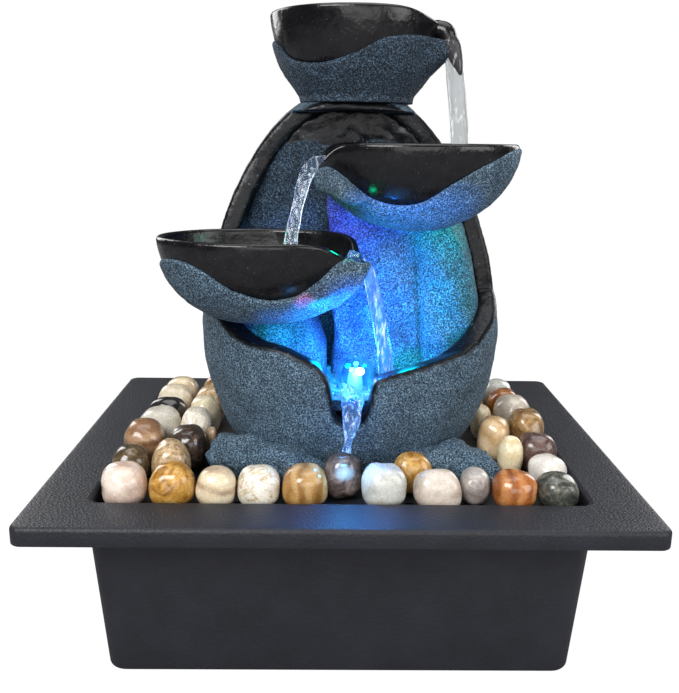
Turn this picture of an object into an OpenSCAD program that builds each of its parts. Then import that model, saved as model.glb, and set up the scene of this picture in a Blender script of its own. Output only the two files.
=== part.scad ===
// Tabletop water fountain: a wide-rimmed basin, a perforated deck with river pebbles, and a hollow
// egg-shaped casting with three pouring bowls over a lit pool. A small pump in the basin feeds the
// upper bowl through a riser tube. Millimetres, +Z up, front towards -Y, origin at the middle of the
// footprint on the surface that the fountain stands on.

/* [Basin] */
// Width of the basin's rim
rim_w = 210; // [206:1:214]
// Depth of the basin's rim, front to back
rim_d = 170; // [167:1:174]
// Height of the rim's top face
rim_top = 68; // [66:1:70]
// Height of the rim's turned-down lip
lip_h = 6.5; // [5:0.5:8]
// Thickness of the basin's walls
wall_t = 2.5; // [2:0.1:3]
// Height of the rubber feet below the basin
foot_h = 1.8; // [1.5:0.1:2]

/* [Sculpture] */
// Largest half width of the egg-shaped shell
egg_half_w = 58; // [57:0.5:59]
// Largest half depth of the egg-shaped shell
egg_half_d = 44.5; // [43.5:0.5:45.5]
// Height of the shell's widest level
egg_mid_z = 112; // [110:0.5:114]
// Thickness of the shell's wall
shell_t = 8; // [7:0.5:9]
// Thickness of the black bowls' walls
liner_t = 2.5; // [2:0.1:3]
// Thickness of the textured cradles around the bowls
cradle_t = 3; // [2.5:0.1:3.5]

/* [Pump] */
// Outer radius of the pump's outlet
outlet_r = 3.6; // [3.4:0.1:3.8]
// Outer radius of the riser tube
tube_r = 5; // [4.8:0.1:5.2]

/* [Hidden] */
gap = 0.3;              // clearance between castings that sit together
fit = 0.05;             // radial clearance of running and sliding fits
lean = 14;              // how far back the shell's middle leans at the neck
egg_x = 3.7;            // the casting sits a little right of the basin's middle
egg_power = 1.86;       // below 2 the egg's shoulders are leaner than an ellipse
egg_up = 96;            // half height of the egg above its widest level
egg_down = 72;          // half height of the egg below it
neck_z = 200;           // the shell ends here, below the upper bowl
opening = [169, 129];   // inside of the basin at the rim
floor_size = [166, 126];
deck_z = 60;            // underside of the deck
deck_t = 2.5;
deck_top = deck_z + deck_t;
floor_top = foot_h + wall_t;
pool_z = 94;            // top of the pool's floor
pump_x = 4;             // the pump's outlet, the riser and the upper nozzle share this axis
pump_y = 18;
pump_size = [38, 30, 26];
cup_h = 6;              // suction cups under the pump
pump_z = floor_top + cup_h;
pump_top = pump_z + pump_size.z;
outlet_top = pump_top + 12;
lamp = [5, -24];        // the pool lamp's axis
lamp_r = 7.2;
gland_z = 52;           // height of the cable gland in the basin's rear wall
cable_r = 2.2;

// Each bowl: middle, half sizes of its rim, rim height, depth with its cradle, profile power,
// spout angle, spout dip, how far the spout reaches out, and the cradle's edge as [angle, height].
UPPER = [[5, 18], [33.4, 32], 233, 39, 2, -24, 4, 1,
    [[0, 221.5], [120, 221], [192, 222.5], [213, 215.5], [240, 213.5], [266, 216.5], [288, 222],
     [320, 223.5], [360, 221.5]]];
MIDDLE = [[26, -20], [35.8, 26.5], 185.6, 31, 2, 185, 8, 3,
    [[0, 184], [60, 179], [120, 175], [184, 174.5], [202, 177.5], [216, 174.5], [230, 167.5],
     [250, 165], [272, 166.5], [292, 174], [312, 180], [330, 183.5], [360, 184]]];
LOWER = [[-30, -28], [35.8, 25.5], 153.2, 31.5, 2.1, -18, 8, 6,
    [[0, 143], [60, 140], [120, 139], [180, 142], [204, 146], [225, 146.5], [240, 143.5], [256, 137],
     [280, 133.5], [301, 135], [312, 140], [323, 146], [335, 147.5], [360, 143]]];

function pebble_name(i) = str("pebble_", i < 10 ? "0" : "", i);

// ---------------------------------------------------------------- helpers

// A closed solid through rings of equally many points; capped by a fan at each end.
module loft(rings) {
    n = len(rings[0]);
    m = len(rings);
    middle = function(r) [for (k = [0:2]) [for (p = r) p[k]] * [for (p = r) 1] / n];
    polyhedron(
        points = concat([for (r = rings, p = r) p], [middle(rings[0]), middle(rings[m - 1])]),
        faces = concat(
            [for (j = [0:m - 2], i = [0:n - 1]) let (k = (i + 1) % n)
                each [[j * n + i, (j + 1) * n + i, (j + 1) * n + k],
                      [j * n + i, (j + 1) * n + k, j * n + k]]],
            [for (i = [0:n - 1]) [m * n, i, (i + 1) % n]],
            [for (i = [0:n - 1]) [m * n + 1, (m - 1) * n + (i + 1) % n, (m - 1) * n + i]]));
}

// Takes the shape inside as one mesh, for castings with no true bore or pin.
module casting() {
    resize([0, 0, 0]) children();
}

function catmull(a, b, c, d, t) =
    0.5 * (2 * b + (c - a) * t + (2 * a - 5 * b + 4 * c - d) * t * t + (3 * b - a - 3 * c + d) * t * t * t);

// A smooth line through points, with n steps between neighbours.
function smooth_line(p, n) = let (last = len(p) - 1) concat(
    [for (i = [0:last - 1], s = [0:n - 1])
        catmull(p[max(i - 1, 0)], p[i], p[i + 1], p[min(i + 2, last)], s / n)],
    [p[last]]);

module rounded_rect(w, d, r) {
    square([w - 2 * r, d], center = true);
    square([w, d - 2 * r], center = true);
    for (x = [-1, 1], y = [-1, 1])
        translate([x * (w / 2 - r), y * (d / 2 - r)]) circle(r, $fn = 48);
}

module slab(w, d, r, z0, z1) {
    translate([0, 0, z0]) linear_extrude(z1 - z0) rounded_rect(w, d, r);
}

// A tub shape that tapers from one rounded rectangle to another.
module tapered(size0, z0, size1, z1, r) {
    hull() {
        translate([0, 0, z0]) linear_extrude(0.01)
            for (x = [-1, 1], y = [-1, 1])
                translate([x * (size0.x / 2 - r), y * (size0.y / 2 - r)]) circle(r, $fn = 24);
        translate([0, 0, z1 - 0.01]) linear_extrude(0.01)
            for (x = [-1, 1], y = [-1, 1])
                translate([x * (size1.x / 2 - r), y * (size1.y / 2 - r)]) circle(r, $fn = 24);
    }
}

// ---------------------------------------------------------------- basin

module basin() {
    corner = 7;
    rim_corner = 4;
    color("#2b2b30") difference() {
        union() {
            tapered(floor_size, foot_h, opening + [5, 5], rim_top - 1, corner);
            slab(rim_w, rim_d, rim_corner, rim_top - wall_t, rim_top);
            difference() {
                slab(rim_w, rim_d, rim_corner, rim_top - lip_h, rim_top - 1);
                slab(rim_w - 2 * wall_t, rim_d - 2 * wall_t, rim_corner - wall_t,
                    rim_top - lip_h - 1, rim_top - wall_t);
            }
        }
        tapered(floor_size - [5, 5], floor_top, opening, rim_top + 1, corner - wall_t);
        translate([0, opening.y / 2 + 8, gland_z]) rotate([90, 0, 0]) cylinder(r = 5, h = 14, $fn = 48);
    }
    color("#2b2b30") intersection() {
        tapered(floor_size - [2, 2], foot_h + 1, opening + [3, 3], rim_top - 1, corner);
        deck_ribs();
    }
}

// Upright ribs along the walls, which carry the deck.
module deck_ribs() {
    width = 4;
    depth = 5;
    low = floor_top - 1;
    for (x = [-52, 52], side = [-1, 1])
        translate([x - width / 2, side > 0 ? floor_size.y / 2 - wall_t - depth : -opening.y, low])
            cube([width, opening.y - floor_size.y / 2 + wall_t + depth, deck_z - low]);
    for (y = [-36, 36], side = [-1, 1])
        translate([side > 0 ? floor_size.x / 2 - wall_t - depth : -opening.x, y - width / 2, low])
            cube([opening.x - floor_size.x / 2 + wall_t + depth, width, deck_z - low]);
}

module rubber_feet() {
    color("#151517")
        for (x = [-1, 1], y = [-1, 1])
            translate([x * 72, y * 52, 0]) cylinder(r1 = 5, r2 = 6, h = foot_h, $fn = 48);
}

// A flanged rubber gland in the rear wall, where the pump's lead leaves the basin.
module cable_gland() {
    inner_y = 61.8;
    color("#151517")
        translate([0, inner_y, gland_z]) rotate([-90, 0, 0]) difference() {
            union() {
                cylinder(r = 4.9, h = 6, $fn = 48);
                cylinder(r = 7, h = 1.2, $fn = 48);
                translate([0, 0, 4.9]) cylinder(r = 7, h = 2, $fn = 48);
            }
            translate([0, 0, -1]) cylinder(r = cable_r, h = 12, $fn = 48);
        }
}

// ---------------------------------------------------------------- deck

// A loose perforated tray on the ribs. It carries the pebbles and the casting.
module deck() {
    size = [162, 122];
    hole_r = 2;
    color("#26262a") difference() {
        union() {
            slab(size.x, size.y, 5, deck_z, deck_top);
            for (y = [-1, 1]) translate([0, y * 40, deck_z - 1.5]) cube([120, 2, 3.2], center = true);
        }
        translate([pump_x, 12, deck_z - 5]) linear_extrude(12) rounded_rect(46, 40, 4);
        for (x = [-72:12:72], y = [-54, 54])
            translate([x, y, deck_z - 5]) cylinder(r = hole_r, h = 12, $fn = 24);
        for (x = [-72, -60, 60, 72], y = [-42:12:42])
            translate([x, y, deck_z - 5]) cylinder(r = hole_r, h = 12, $fn = 24);
    }
}

// ---------------------------------------------------------------- egg-shaped casting

// The shell's half width at a height, for a surface grown by g.
function egg_w(z, g = 0) = let (h = (z > egg_mid_z ? egg_up : egg_down) + g)
    (egg_half_w + g) * pow(max(0, 1 - pow(abs(z - egg_mid_z) / h, egg_power)), 1 / egg_power);
function egg_d(z, g = 0) = egg_w(z, g) * (egg_half_d + g) / (egg_half_w + g);
function egg_y(z) = z > egg_mid_z ? lean * pow((z - egg_mid_z) / (neck_z - egg_mid_z), 2) : 0;

function oval(x, y, z, a, b, n) = [for (i = [0:n - 1]) let (t = 360 * i / n)
    [x + a * cos(t), y + b * sin(t), z]];

// The egg grown by g, between two heights.
module egg(g, z0, z1, n = 48, rings = 20) {
    top = min(z1, egg_mid_z + egg_up + g - 1);
    loft([for (j = [0:rings]) let (s = sin(90 * j / rings), z = z0 + (top - z0) * s)
        oval(egg_x, egg_y(z), z, egg_w(z, g), egg_d(z, g), n)]);
}

// The front opening's outline, seen from the front: open sides above, a scooped pool wall below
// and a notch in its middle where the water leaves.
function opening_outline(g = 0) = concat(
    smooth_line([[-75, 121], [-50, 120], [-40, 117.5], [-32, 115.5], [-23, 115], [-15.5, 112.5],
        [-8 - g, 109], [-4.5 - g, 103], [-1.5 - g, 89 - g], [7.5 + g, 89 - g], [11 + g, 103],
        [15.5 + g, 106], [29, 109], [40, 111.5], [50, 113.5], [60, 115], [75, 117]], 4),
    [[75, 215], [-75, 215]]);

module outline_prism(g) {
    translate([0, g, 0]) rotate([90, 0, 0]) linear_extrude(80) polygon(opening_outline(g));
}

// How far back the cut face lies at a height. It leans with the shell up to the neck.
function cut_y(z) = min(egg_y(z), 8);
cut_top = 196.5;

// Everything in front of the cut face, above a lip that slopes down outwards.
module front_opening(g = 0) {
    slope = 0.5;
    from_y = -30;
    intersection() {
        outline_prism(g);
        multmatrix([[1, 0, 0, 0], [0, 1, 0, 0], [0, slope, 1, -slope * from_y], [0, 0, 0, 1]])
            outline_prism(g);
    }
    low = 140;
    steps = 7;
    rotate([90, 0, 90]) linear_extrude(150, center = true) polygon(concat(
        [[-80, cut_top + g], [-80, low]],
        [for (k = [0:steps]) let (z = low + (cut_top + g - low) * k / steps) [cut_y(z) + g, z]]));
}

module shell_space(g) {
    difference() {
        egg(g, deck_top - 2 * g, neck_z + 2 * g);
        shell_void(g);
        front_opening(-g);
    }
}

// The hollow inside the shell, shrunk by g.
module shell_void(g) {
    egg(-shell_t - g, deck_top - 5, neck_z - 2, 40, 16);
}

module shell() {
    color("#4f5d6a") casting() difference() {
        shell_space(0);
        bowl_volume(UPPER, 1, cradle_t, gap, false);
        bowl_volume(MIDDLE, 0, 0, gap, false);
        bowl_volume(LOWER, 0, 0, gap, false);
        translate([pump_x, pump_y, deck_top - 5]) cylinder(r = tube_r + gap, h = 200, $fn = 24);
    }
}

// The rear wall of the grotto, inside the shell.
wall_y = [9, 12.6];
module grotto_wall() {
    color("#3d4b58") casting() intersection() {
        shell_void(gap);
        translate([0, 0, pool_z + gap]) linear_extrude(193 - pool_z) polygon(concat(
            [[-60, wall_y[1]]],
            [for (x = [-60:4:60]) [x, wall_y[0] + 1.2 * sin(x * 9)]],
            [[60, wall_y[1]]]));
    }
}

// The folded rock face below the middle bowl, in front of the grotto's wall.
rock_back = wall_y[0] - 1.5;
module cascade_rock() {
    folds = function(x) -9 - 5 * cos((x - 12) * 13) - (x > 28 ? 1 : 0);
    color("#3d4b58") casting() difference() {
        intersection() {
            shell_void(gap);
            translate([0, 0, pool_z + gap]) linear_extrude(74) polygon(concat(
                [[52, rock_back], [-5, rock_back], [-5, 0]],
                [for (x = [-4:2:50]) [x, folds(x)]],
                [[52, 0]]));
        }
        bowl_volume(MIDDLE, 1, cradle_t, gap, true);
        bowl_volume(LOWER, 1, cradle_t, gap, true);
        translate([lamp.x, lamp.y, 80]) cylinder(r = lamp_r + 2, h = 50, $fn = 32);
    }
}

// The bank of rock left of the lamp, sloping down to the water.
module pool_bank() {
    color("#3d4b58") casting() difference() {
        intersection() {
            shell_void(gap);
            hull() {
                translate([-50, rock_back - 9, pool_z + gap]) cube([44, 9, 26]);
                translate([-50, rock_back - 22, pool_z + gap]) cube([38, 9, 20]);
                translate([-40, -30, pool_z + gap]) cube([28, 9, 6]);
            }
        }
        bowl_volume(LOWER, 1, cradle_t, gap, true);
    }
}

// The floor that closes the front of the shell and holds the pool, with a seat for the lamp.
module pool_floor() {
    color("#3d4b58") casting() difference() {
        intersection() {
            shell_void(gap);
            translate([-80, -80, pool_z - 4]) cube([160, 80 + wall_y[1], 4]);
        }
        translate([lamp.x, lamp.y, 80]) cylinder(r = lamp_r + gap, h = 30, $fn = 32);
    }
}

// ---------------------------------------------------------------- bowls

function turn_gap(a, b) = abs((a - b + 540) % 360 - 180);
function near(t, at, width) = exp(-pow(turn_gap(t, at) / width, 2));

// The rim height of a bowl at a plan angle, lower at its spout.
function rim_z(b, t) = b[2] - b[6] * near(t, b[5], 24);

// The cradle's edge height at a plan angle, on a smooth line through its table.
function edge_z(b, t) = let (k = b[8], last = len(k) - 1,
    i = max([for (j = [0:last - 1]) k[j][0] <= t ? j : 0]),
    s = (t - k[i][0]) / (k[i + 1][0] - k[i][0]))
    catmull(k[i > 0 ? i - 1 : last - 1][1], k[i][1], k[i + 1][1], k[i + 1 < last ? i + 2 : 1][1], s);

// A point of a bowl's surface. The surface is grown by side in plan and by down in depth.
function bowl_profile(s, p) = pow(max(0, 1 - pow(s, p)), 1 / p);
function bowl_point(b, t, z, side, down) = let (
    s = min(1, max(0, (b[2] - z) / (b[3] - cradle_t + down))),
    k = bowl_profile(s, b[4]),
    reach = b[7] * near(t, b[5], 12) * k)
    [b[0].x + (b[1].x + side) * k * cos(t) + reach * cos(b[5]),
     b[0].y + (b[1].y + side) * k * sin(t) + reach * sin(b[5]), z];

// A bowl's volume up to its rim, or up to its cradle's edge, with room added all round.
module bowl_volume(b, side, down, room, to_edge, n = 40, rings = 8) {
    low = b[2] - b[3] + cradle_t - down - room;
    lift = to_edge ? 0 : room;
    loft([for (j = [0:rings]) [for (i = [0:n - 1]) let (
        t = 360 * i / n,
        top = (to_edge ? min(edge_z(b, t), rim_z(b, t)) : rim_z(b, t)) + lift,
        z = low + 0.4 + (top - low - 0.4) * (1 - cos(90 * j / rings)))
        bowl_point(b, t, z, side + room, down + room)]]);
}

// The black inner bowl.
module bowl(b) {
    color("#17171a") casting() difference() {
        bowl_volume(b, 0, 0, 0, false);
        bowl_inside(b);
    }
}

module bowl_inside(b, n = 40, rings = 8) {
    low = b[2] - b[3] + cradle_t + liner_t;
    loft([for (j = [0:rings]) [for (i = [0:n - 1]) let (
        t = 360 * i / n,
        z = low + 0.4 + (rim_z(b, t) + 1 - low - 0.4) * (1 - cos(90 * j / rings)))
        bowl_point(b, t, z, -liner_t, -liner_t)]]);
}

// The textured cradle around a bowl. What is given as a child is cut from it.
module cradle(b) {
    color("#4f5d6a") casting() difference() {
        bowl_volume(b, 1, cradle_t, 0, true);
        bowl_volume(b, 0, 0, 0.1, false);
        children();
    }
}

// The upper bowl pours through a short elbow that turns down outside its wall.
elbow = [[31, 6.3, 226.2], [37.2, 3.7, 226.2], [38.6, 3.1, 219.8]];
elbow_r = [3.3, 3.5, 3.1];
module upper_bowl() {
    color("#17171a") casting() difference() {
        union() {
            bowl_volume(UPPER, 0, 0, 0, false);
            difference() {
                elbow_run(elbow, elbow_r);
                translate(elbow[2] - [0, 0, 10]) cube(20, center = true);
            }
        }
        bowl_inside(UPPER);
        elbow_run([elbow[0] - [5, -2.2, 0], elbow[1], elbow[2] + [0.7, -0.3, -3]], [1.9, 1.9, 1.9]);
        translate([pump_x, pump_y, UPPER[2] - 60]) cylinder(r = tube_r + gap, h = 60, $fn = 24);
    }
}

module elbow_run(p, r) {
    for (k = [0, 1]) hull() {
        translate(p[k]) sphere(r[k], $fn = 20);
        translate(p[k + 1]) sphere(r[k + 1], $fn = 20);
    }
}

module middle_bowl() bowl(MIDDLE);
module lower_bowl() bowl(LOWER);

// The upper cradle has a round foot that stands on the shell's neck.
module upper_cradle() {
    color("#4f5d6a") casting() difference() {
        union() {
            bowl_volume(UPPER, 1, cradle_t, 0, true);
            loft([for (k = [[0.1, 21.5, 18.5], [2.5, 20.5, 18], [5, 21.5, 19], [9, 24, 22]])
                oval(5, 15, neck_z + k[0], k[1], k[2], 32)]);
        }
        bowl_volume(UPPER, 0, 0, 0.1, false);
        elbow_run(elbow, [for (r = elbow_r) r + gap]);
        translate([pump_x, pump_y, 180]) cylinder(r = tube_r + gap, h = 40, $fn = 24);
    }
}

module middle_cradle() {
    cradle(MIDDLE) {
        shell_space(gap);
        grotto_block();
    }
}

module lower_cradle() {
    cradle(LOWER) {
        shell_space(gap);
        grotto_block();
    }
}

// The space of the grotto's wall, which the cradles stop at.
module grotto_block() translate([-60, rock_back, 90]) cube([120, 40, 120]);

// ---------------------------------------------------------------- roots

// Rough rocks at the foot of the casting.
module root(blobs) {
    color("#4f5d6a") casting() difference() {
        for (b = blobs) hull() for (k = b)
            translate([k[0], k[1], deck_top + k[3] / 2]) scale([1, 1, k[3] / k[2] / 2])
                sphere(k[2], $fn = 20);
        egg(gap, deck_top - 10, 150);
        translate([-80, -80, deck_top - 20]) cube([160, 160, 20]);
    }
}

module left_root() root([
    [[-43, -27, 8, 17], [-34, -31, 8, 18]],
    [[-34, -31, 9, 17], [-18, -37, 8, 15]],
    [[-18, -37, 8, 14], [-9, -38, 6, 12]]]);

module right_root() root([
    [[34, -31, 8, 15], [45, -28, 8, 15]],
    [[45, -28, 8, 15], [53, -37, 7, 12]]]);

// ---------------------------------------------------------------- water path

module riser_tube() {
    top = UPPER[2] - UPPER[3] + cradle_t + 6;
    color("#d8dde0") translate([pump_x, pump_y, 0]) difference() {
        translate([0, 0, pump_top + 1]) cylinder(r = tube_r, h = top - pump_top - 1, $fn = 48);
        translate([0, 0, pump_top]) cylinder(r = outlet_r + fit, h = 200, $fn = 48);
    }
}

// A flanged nozzle in the upper bowl's floor.
module upper_nozzle() {
    top = UPPER[2] - UPPER[3] + cradle_t + 6;
    color("#1b1b1e") translate([pump_x, pump_y, 0]) difference() {
        union() {
            translate([0, 0, top - 12]) cylinder(r = outlet_r, h = 13, $fn = 48);
            translate([0, 0, top + gap / 3]) cylinder(r = 7, h = 2.4, $fn = 48);
        }
        translate([0, 0, top - 13]) cylinder(r = 2.4, h = 20, $fn = 48);
    }
}

// ---------------------------------------------------------------- pool lamp

lamp_seat = pool_z + 2;
lamp_low = 84;
lead_r = 1.1;
module lamp_housing() {
    color("#e8edf2") translate([lamp.x, lamp.y, 0]) difference() {
        union() {
            translate([0, 0, lamp_low]) cylinder(r = lamp_r, h = lamp_seat - lamp_low, $fn = 48);
            translate([0, 0, pool_z + 0.1]) cylinder(r = lamp_r + 1.4, h = 1.9, $fn = 48);
        }
        translate([0, 0, lamp_low + 2]) cylinder(r = lamp_r - 1.5, h = 20, $fn = 48);
        translate([0, 0, lamp_low - 1]) cylinder(r = lead_r + fit, h = 10, $fn = 24);
    }
}

// The clear domed lens on the lamp.
module lamp_lens() {
    straight = 5.5;
    color("#bfe4ff") translate([lamp.x, lamp.y, lamp_seat + 0.1]) rotate_extrude($fn = 48)
        polygon(concat(
            [[0, 4], [lamp_r - 2, 4], [lamp_r - 2, 0], [lamp_r, 0]],
            [for (a = [0:10:80]) [lamp_r * cos(a), straight + lamp_r * sin(a)]],
            [[0, straight + lamp_r]]));
}

// The ring nut that holds the lamp under the pool's floor.
module lamp_nut() {
    color("#1b1b1e") translate([lamp.x, lamp.y, 85.5]) difference() {
        cylinder(r = lamp_r + 2, h = 4.3, $fn = 6);
        translate([0, 0, -1]) cylinder(r = lamp_r + fit, h = 8, $fn = 48);
    }
}

// The lamp's lead, inside the hollow casting, from the housing to its plug beside the pump.
lead_route = [[5, -24, 85.5], [5, -24, 84], [5, -23.6, 80], [7, -20, 74], [11, -14, 69], [15, -6, 64],
    [17.6, 1.5, 57], [18, 4, 51], [18, 4, 48], [18, 4, 46.1]];
module lamp_lead() {
    path = smooth_line(lead_route, 3);
    last = len(path) - 1;
    along = function(i) let (d = path[min(i + 1, last)] - path[max(i - 1, 0)]) d / norm(d);
    color("#101012") loft([for (i = [0:last]) let (
        d = along(i), u = cross(d, [1, 0, 0]) / norm(cross(d, [1, 0, 0])), v = cross(d, u))
        [for (k = [0:7]) path[i] + lead_r * (cos(45 * k) * u - sin(45 * k) * v)]]);
}

// The lead's small plug, which lifts out of the socket on the pump.
module lamp_plug() {
    color("#101012") translate([18, 4, 0]) {
        translate([0, 0, pump_top + 4.2]) cylinder(r = 3, h = 46 - pump_top - 4.2, $fn = 32);
        translate([0, 0, pump_top + 1.2]) cylinder(r = 1.2, h = 4, $fn = 32);
    }
}

// ---------------------------------------------------------------- pump

pump_c = [pump_x, 14];                   // middle of the pump's body in plan
spin_z = pump_z + 12;
rotor_y = pump_c.y - pump_size.y / 2;    // front face of the pump's body

// The pump's potted body, with its outlet, a bore for the rotor and a socket for the lamp.
module pump_body() {
    color("#1d1d20") difference() {
        union() {
            translate([pump_c.x, pump_c.y, pump_z]) linear_extrude(pump_size.z)
                rounded_rect(pump_size.x, pump_size.y, 4);
            translate([pump_x, pump_y, pump_top - 1]) cylinder(r = outlet_r, h = 13, $fn = 48);
            translate([18, 4, pump_top - 1]) cylinder(r = 3, h = 5, $fn = 32);
        }
        translate([pump_x, pump_y, spin_z]) cylinder(r = 2.4, h = 60, $fn = 48);
        translate([pump_x, rotor_y - 1, spin_z]) rotate([-90, 0, 0]) cylinder(r = 9, h = 9, $fn = 48);
        translate([pump_x, rotor_y, spin_z]) rotate([-90, 0, 0]) cylinder(r = 5, h = 24, $fn = 48);
        translate([18, 4, pump_top - 2]) cylinder(r = 1.3, h = 10, $fn = 32);
    }
}

// The shaft that the rotor turns on, held in the end of its bore.
module impeller_shaft() {
    color("silver") translate([pump_x, rotor_y - 5, spin_z]) rotate([-90, 0, 0])
        cylinder(r = 1, h = 29, $fn = 32);
}

// A six-bladed rotor with its magnet.
module impeller() {
    color("white") translate([pump_x, rotor_y, spin_z]) rotate([-90, 0, 0]) difference() {
        union() {
            translate([0, 0, 8]) cylinder(r = 4.5, h = 15, $fn = 48);
            translate([0, 0, 7]) cylinder(r = 4.5, h = 1.5, $fn = 48);
            translate([0, 0, 1]) cylinder(r = 2.5, h = 7, $fn = 48);
            for (k = [0:5]) rotate([0, 0, 60 * k])
                translate([0, -0.5, 1]) cube([7.5, 1, 6]);
        }
        translate([0, 0, -1]) cylinder(r = 1 + fit, h = 30, $fn = 32);
    }
}

// The slotted strainer over the intake. It pulls off forwards.
module pump_cover() {
    depth = 12;
    size = [pump_size.x - 2, pump_size.z - 2];
    front = rotor_y - depth;
    color("#1d1d20") difference() {
        translate([pump_c.x, rotor_y - gap / 3, pump_z + pump_size.z / 2]) rotate([90, 0, 0])
            linear_extrude(depth) rounded_rect(size.x, size.y, 3);
        translate([pump_c.x, rotor_y + 1, pump_z + pump_size.z / 2]) rotate([90, 0, 0])
            linear_extrude(depth - 1) rounded_rect(size.x - 4, size.y - 4, 2);
        for (z = [-8, -4, 0, 4])
            translate([pump_c.x - 5, front, pump_z + pump_size.z / 2 + z])
                cube([18, 8, 1.8], center = true);
        translate([pump_c.x + 11, front, pump_z + pump_size.z / 2 - 1]) cube([3.4, 8, 16], center = true);
    }
}

// The slider on the strainer that sets the flow.
module flow_slider() {
    front = rotor_y - 12;
    z = pump_z + pump_size.z / 2 - 1;
    color("#5a5a60") translate([pump_c.x + 11, front, z]) {
        cube([3, 6, 5], center = true);
        translate([0, -1.7, 0]) cube([7, 2.8, 6], center = true);
        translate([0, 3.2, 0]) cube([6, 1.6, 5], center = true);
    }
}

module suction_cups() {
    color("#8c9196")
        for (x = [-1, 1], y = [-1, 1])
            translate([pump_c.x + x * 13, pump_c.y + y * 9, floor_top]) {
                cylinder(r1 = 5, r2 = 2, h = 4, $fn = 48);
                cylinder(r = 1.8, h = cup_h, $fn = 48);
            }
}

// ---------------------------------------------------------------- pebbles

// Each visible pebble: middle x and y, width, depth, height, turn in plan, colour.
PEBBLES = [
    [-75, -55, 16.2, 16, 15, 10, "#d9c6b0"], [-58.4, -56, 16, 15, 15.8, 0, "#b5822f"],
    [-43.2, -56, 14, 14, 14.6, 0, "#d8c7a4"], [-28.6, -56, 15, 14, 15.3, 5, "#e3d9c2"],
    [-12.6, -56, 15.8, 14, 15.4, 0, "#a87f49"], [0.6, -48, 13.6, 13, 16.5, 0, "#8a6f5c"],
    [14.6, -56, 15.8, 14, 16, 0, "#c4c0b5"], [25.6, -43.6, 14.2, 11.6, 15.4, 0, "#b98a3a"],
    [33, -57, 16.6, 12, 14.8, 5, "#c9bfae"], [47, -51, 11.6, 14, 12.6, -10, "#a39a94"],
    [60, -56, 15.4, 14, 13.6, 0, "#a7642b"], [75, -55, 14.8, 14, 12.8, 0, "#6c675c"],
    [75.6, -39, 13, 16, 13, 20, "#dcd6cb"], [75.2, -22.5, 14.8, 14.5, 15.8, 0, "#5b4740"],
    [63.6, -30, 9.6, 10, 17.4, 0, "#ddcba6"], [61.2, -11, 12.6, 16, 18.2, -15, "#cbab7f"],
    [75.2, -5, 14, 17.6, 19.2, 0, "#84663f"], [73.5, 13, 15.5, 17.5, 19.6, 0, "#b7a99a"],
    [-76.4, -38.4, 13.4, 14, 15.4, 0, "#5d4d3b"], [-62, -38.4, 14, 15, 17.4, 0, "#b49a72"],
    [-75, -20, 16.2, 18.6, 19, 10, "#8f6a4b"], [-58.8, -21, 15.2, 16, 16.9, 0, "#3f342e"],
    [-73.6, -1, 17.4, 18, 17.6, 0, "#c7bfb0"], [-73, 16, 17, 14, 16.8, -10, "#231f20"],
    [-57.6, -4, 13.4, 16, 18.6, 0, "#dcd2bf"], [-73, 32, 16, 16, 17.3, 0, "#cdbfa8"],
    [-57, 29, 14, 14, 17.4, 0, "#b79a72"], [-57, 13, 13, 15, 18.2, 15, "#d8c8a6"],
    [-50.5, -13, 5, 6, 14, 0, "#a68c70"]];

// The pebbles behind the casting, the same way.
REAR = [[-73, 50, 16, 17, 16, 0, "#c9b9a0"], [-56, 50, 15, 16, 17, 0, "#8a745c"],
    [-40, 51, 15, 16, 16, 0, "#d5cbbb"], [-23.5, 53, 15.5, 13, 16, 0, "#6e5d4e"],
    [-6.5, 54, 16, 12, 17, 0, "#c2a06a"], [11, 54.5, 16, 12, 16, 0, "#ddd3c2"],
    [27.5, 54, 15, 13, 16, 0, "#4a403a"], [43.5, 52, 15, 15, 17, 0, "#b9a78e"],
    [59, 50, 14, 16, 16, 0, "#d9cdb6"], [74, 50, 14.5, 16, 16, 0, "#94794f"],
    [73.5, 32, 14.5, 17, 17, 0, "#d3c6ae"], [59, 32.5, 12, 16, 16, 0, "#8d7357"],
    [60.5, 14, 9, 16, 15, 0, "#d9d1c2"]];

// A rounded, slightly squared stone that stands on the deck.
module pebble(p, n = 12, rings = [-70, -35, -5, 30, 65]) {
    power = 2.3;
    last = len(rings) - 1;
    side = function(v) sign(v) * pow(abs(v), 2 / power);
    color(p[6]) translate([p[0], p[1], deck_top + p[4] / 2]) rotate([0, 0, p[5]])
        loft([for (j = [0:last]) let (e = rings[j], s = side(sin(e)))
            [for (i = [0:n - 1]) let (t = 360 * i / n)
                [p[2] / 2 * side(cos(e)) * side(cos(t)), p[3] / 2 * side(cos(e)) * side(sin(t)),
                 p[4] / 2 * (j == 0 ? -1 : j == last ? 1 : s)]]]);
}

// ---------------------------------------------------------------- nodes

basin();
rubber_feet();
cable_gland();
deck();
shell();
grotto_wall();
cascade_rock();
pool_bank();
pool_floor();
upper_bowl();
upper_cradle();
middle_bowl();
middle_cradle();
lower_bowl();
lower_cradle();
left_root();
right_root();
riser_tube();
upper_nozzle();
lamp_housing();
lamp_lens();
lamp_nut();
lamp_lead();
lamp_plug();
pump_body();
pump_cover();
flow_slider();
impeller();
impeller_shaft();
suction_cups();
for (i = [1:len(PEBBLES)])
    pebble(PEBBLES[i - 1]);
for (p = REAR) pebble(p, 10, [-65, -20, 25, 60]);  // rear_pebbles
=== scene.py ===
import math

import bpy
import numpy as np
from mathutils import Matrix, Vector


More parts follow.
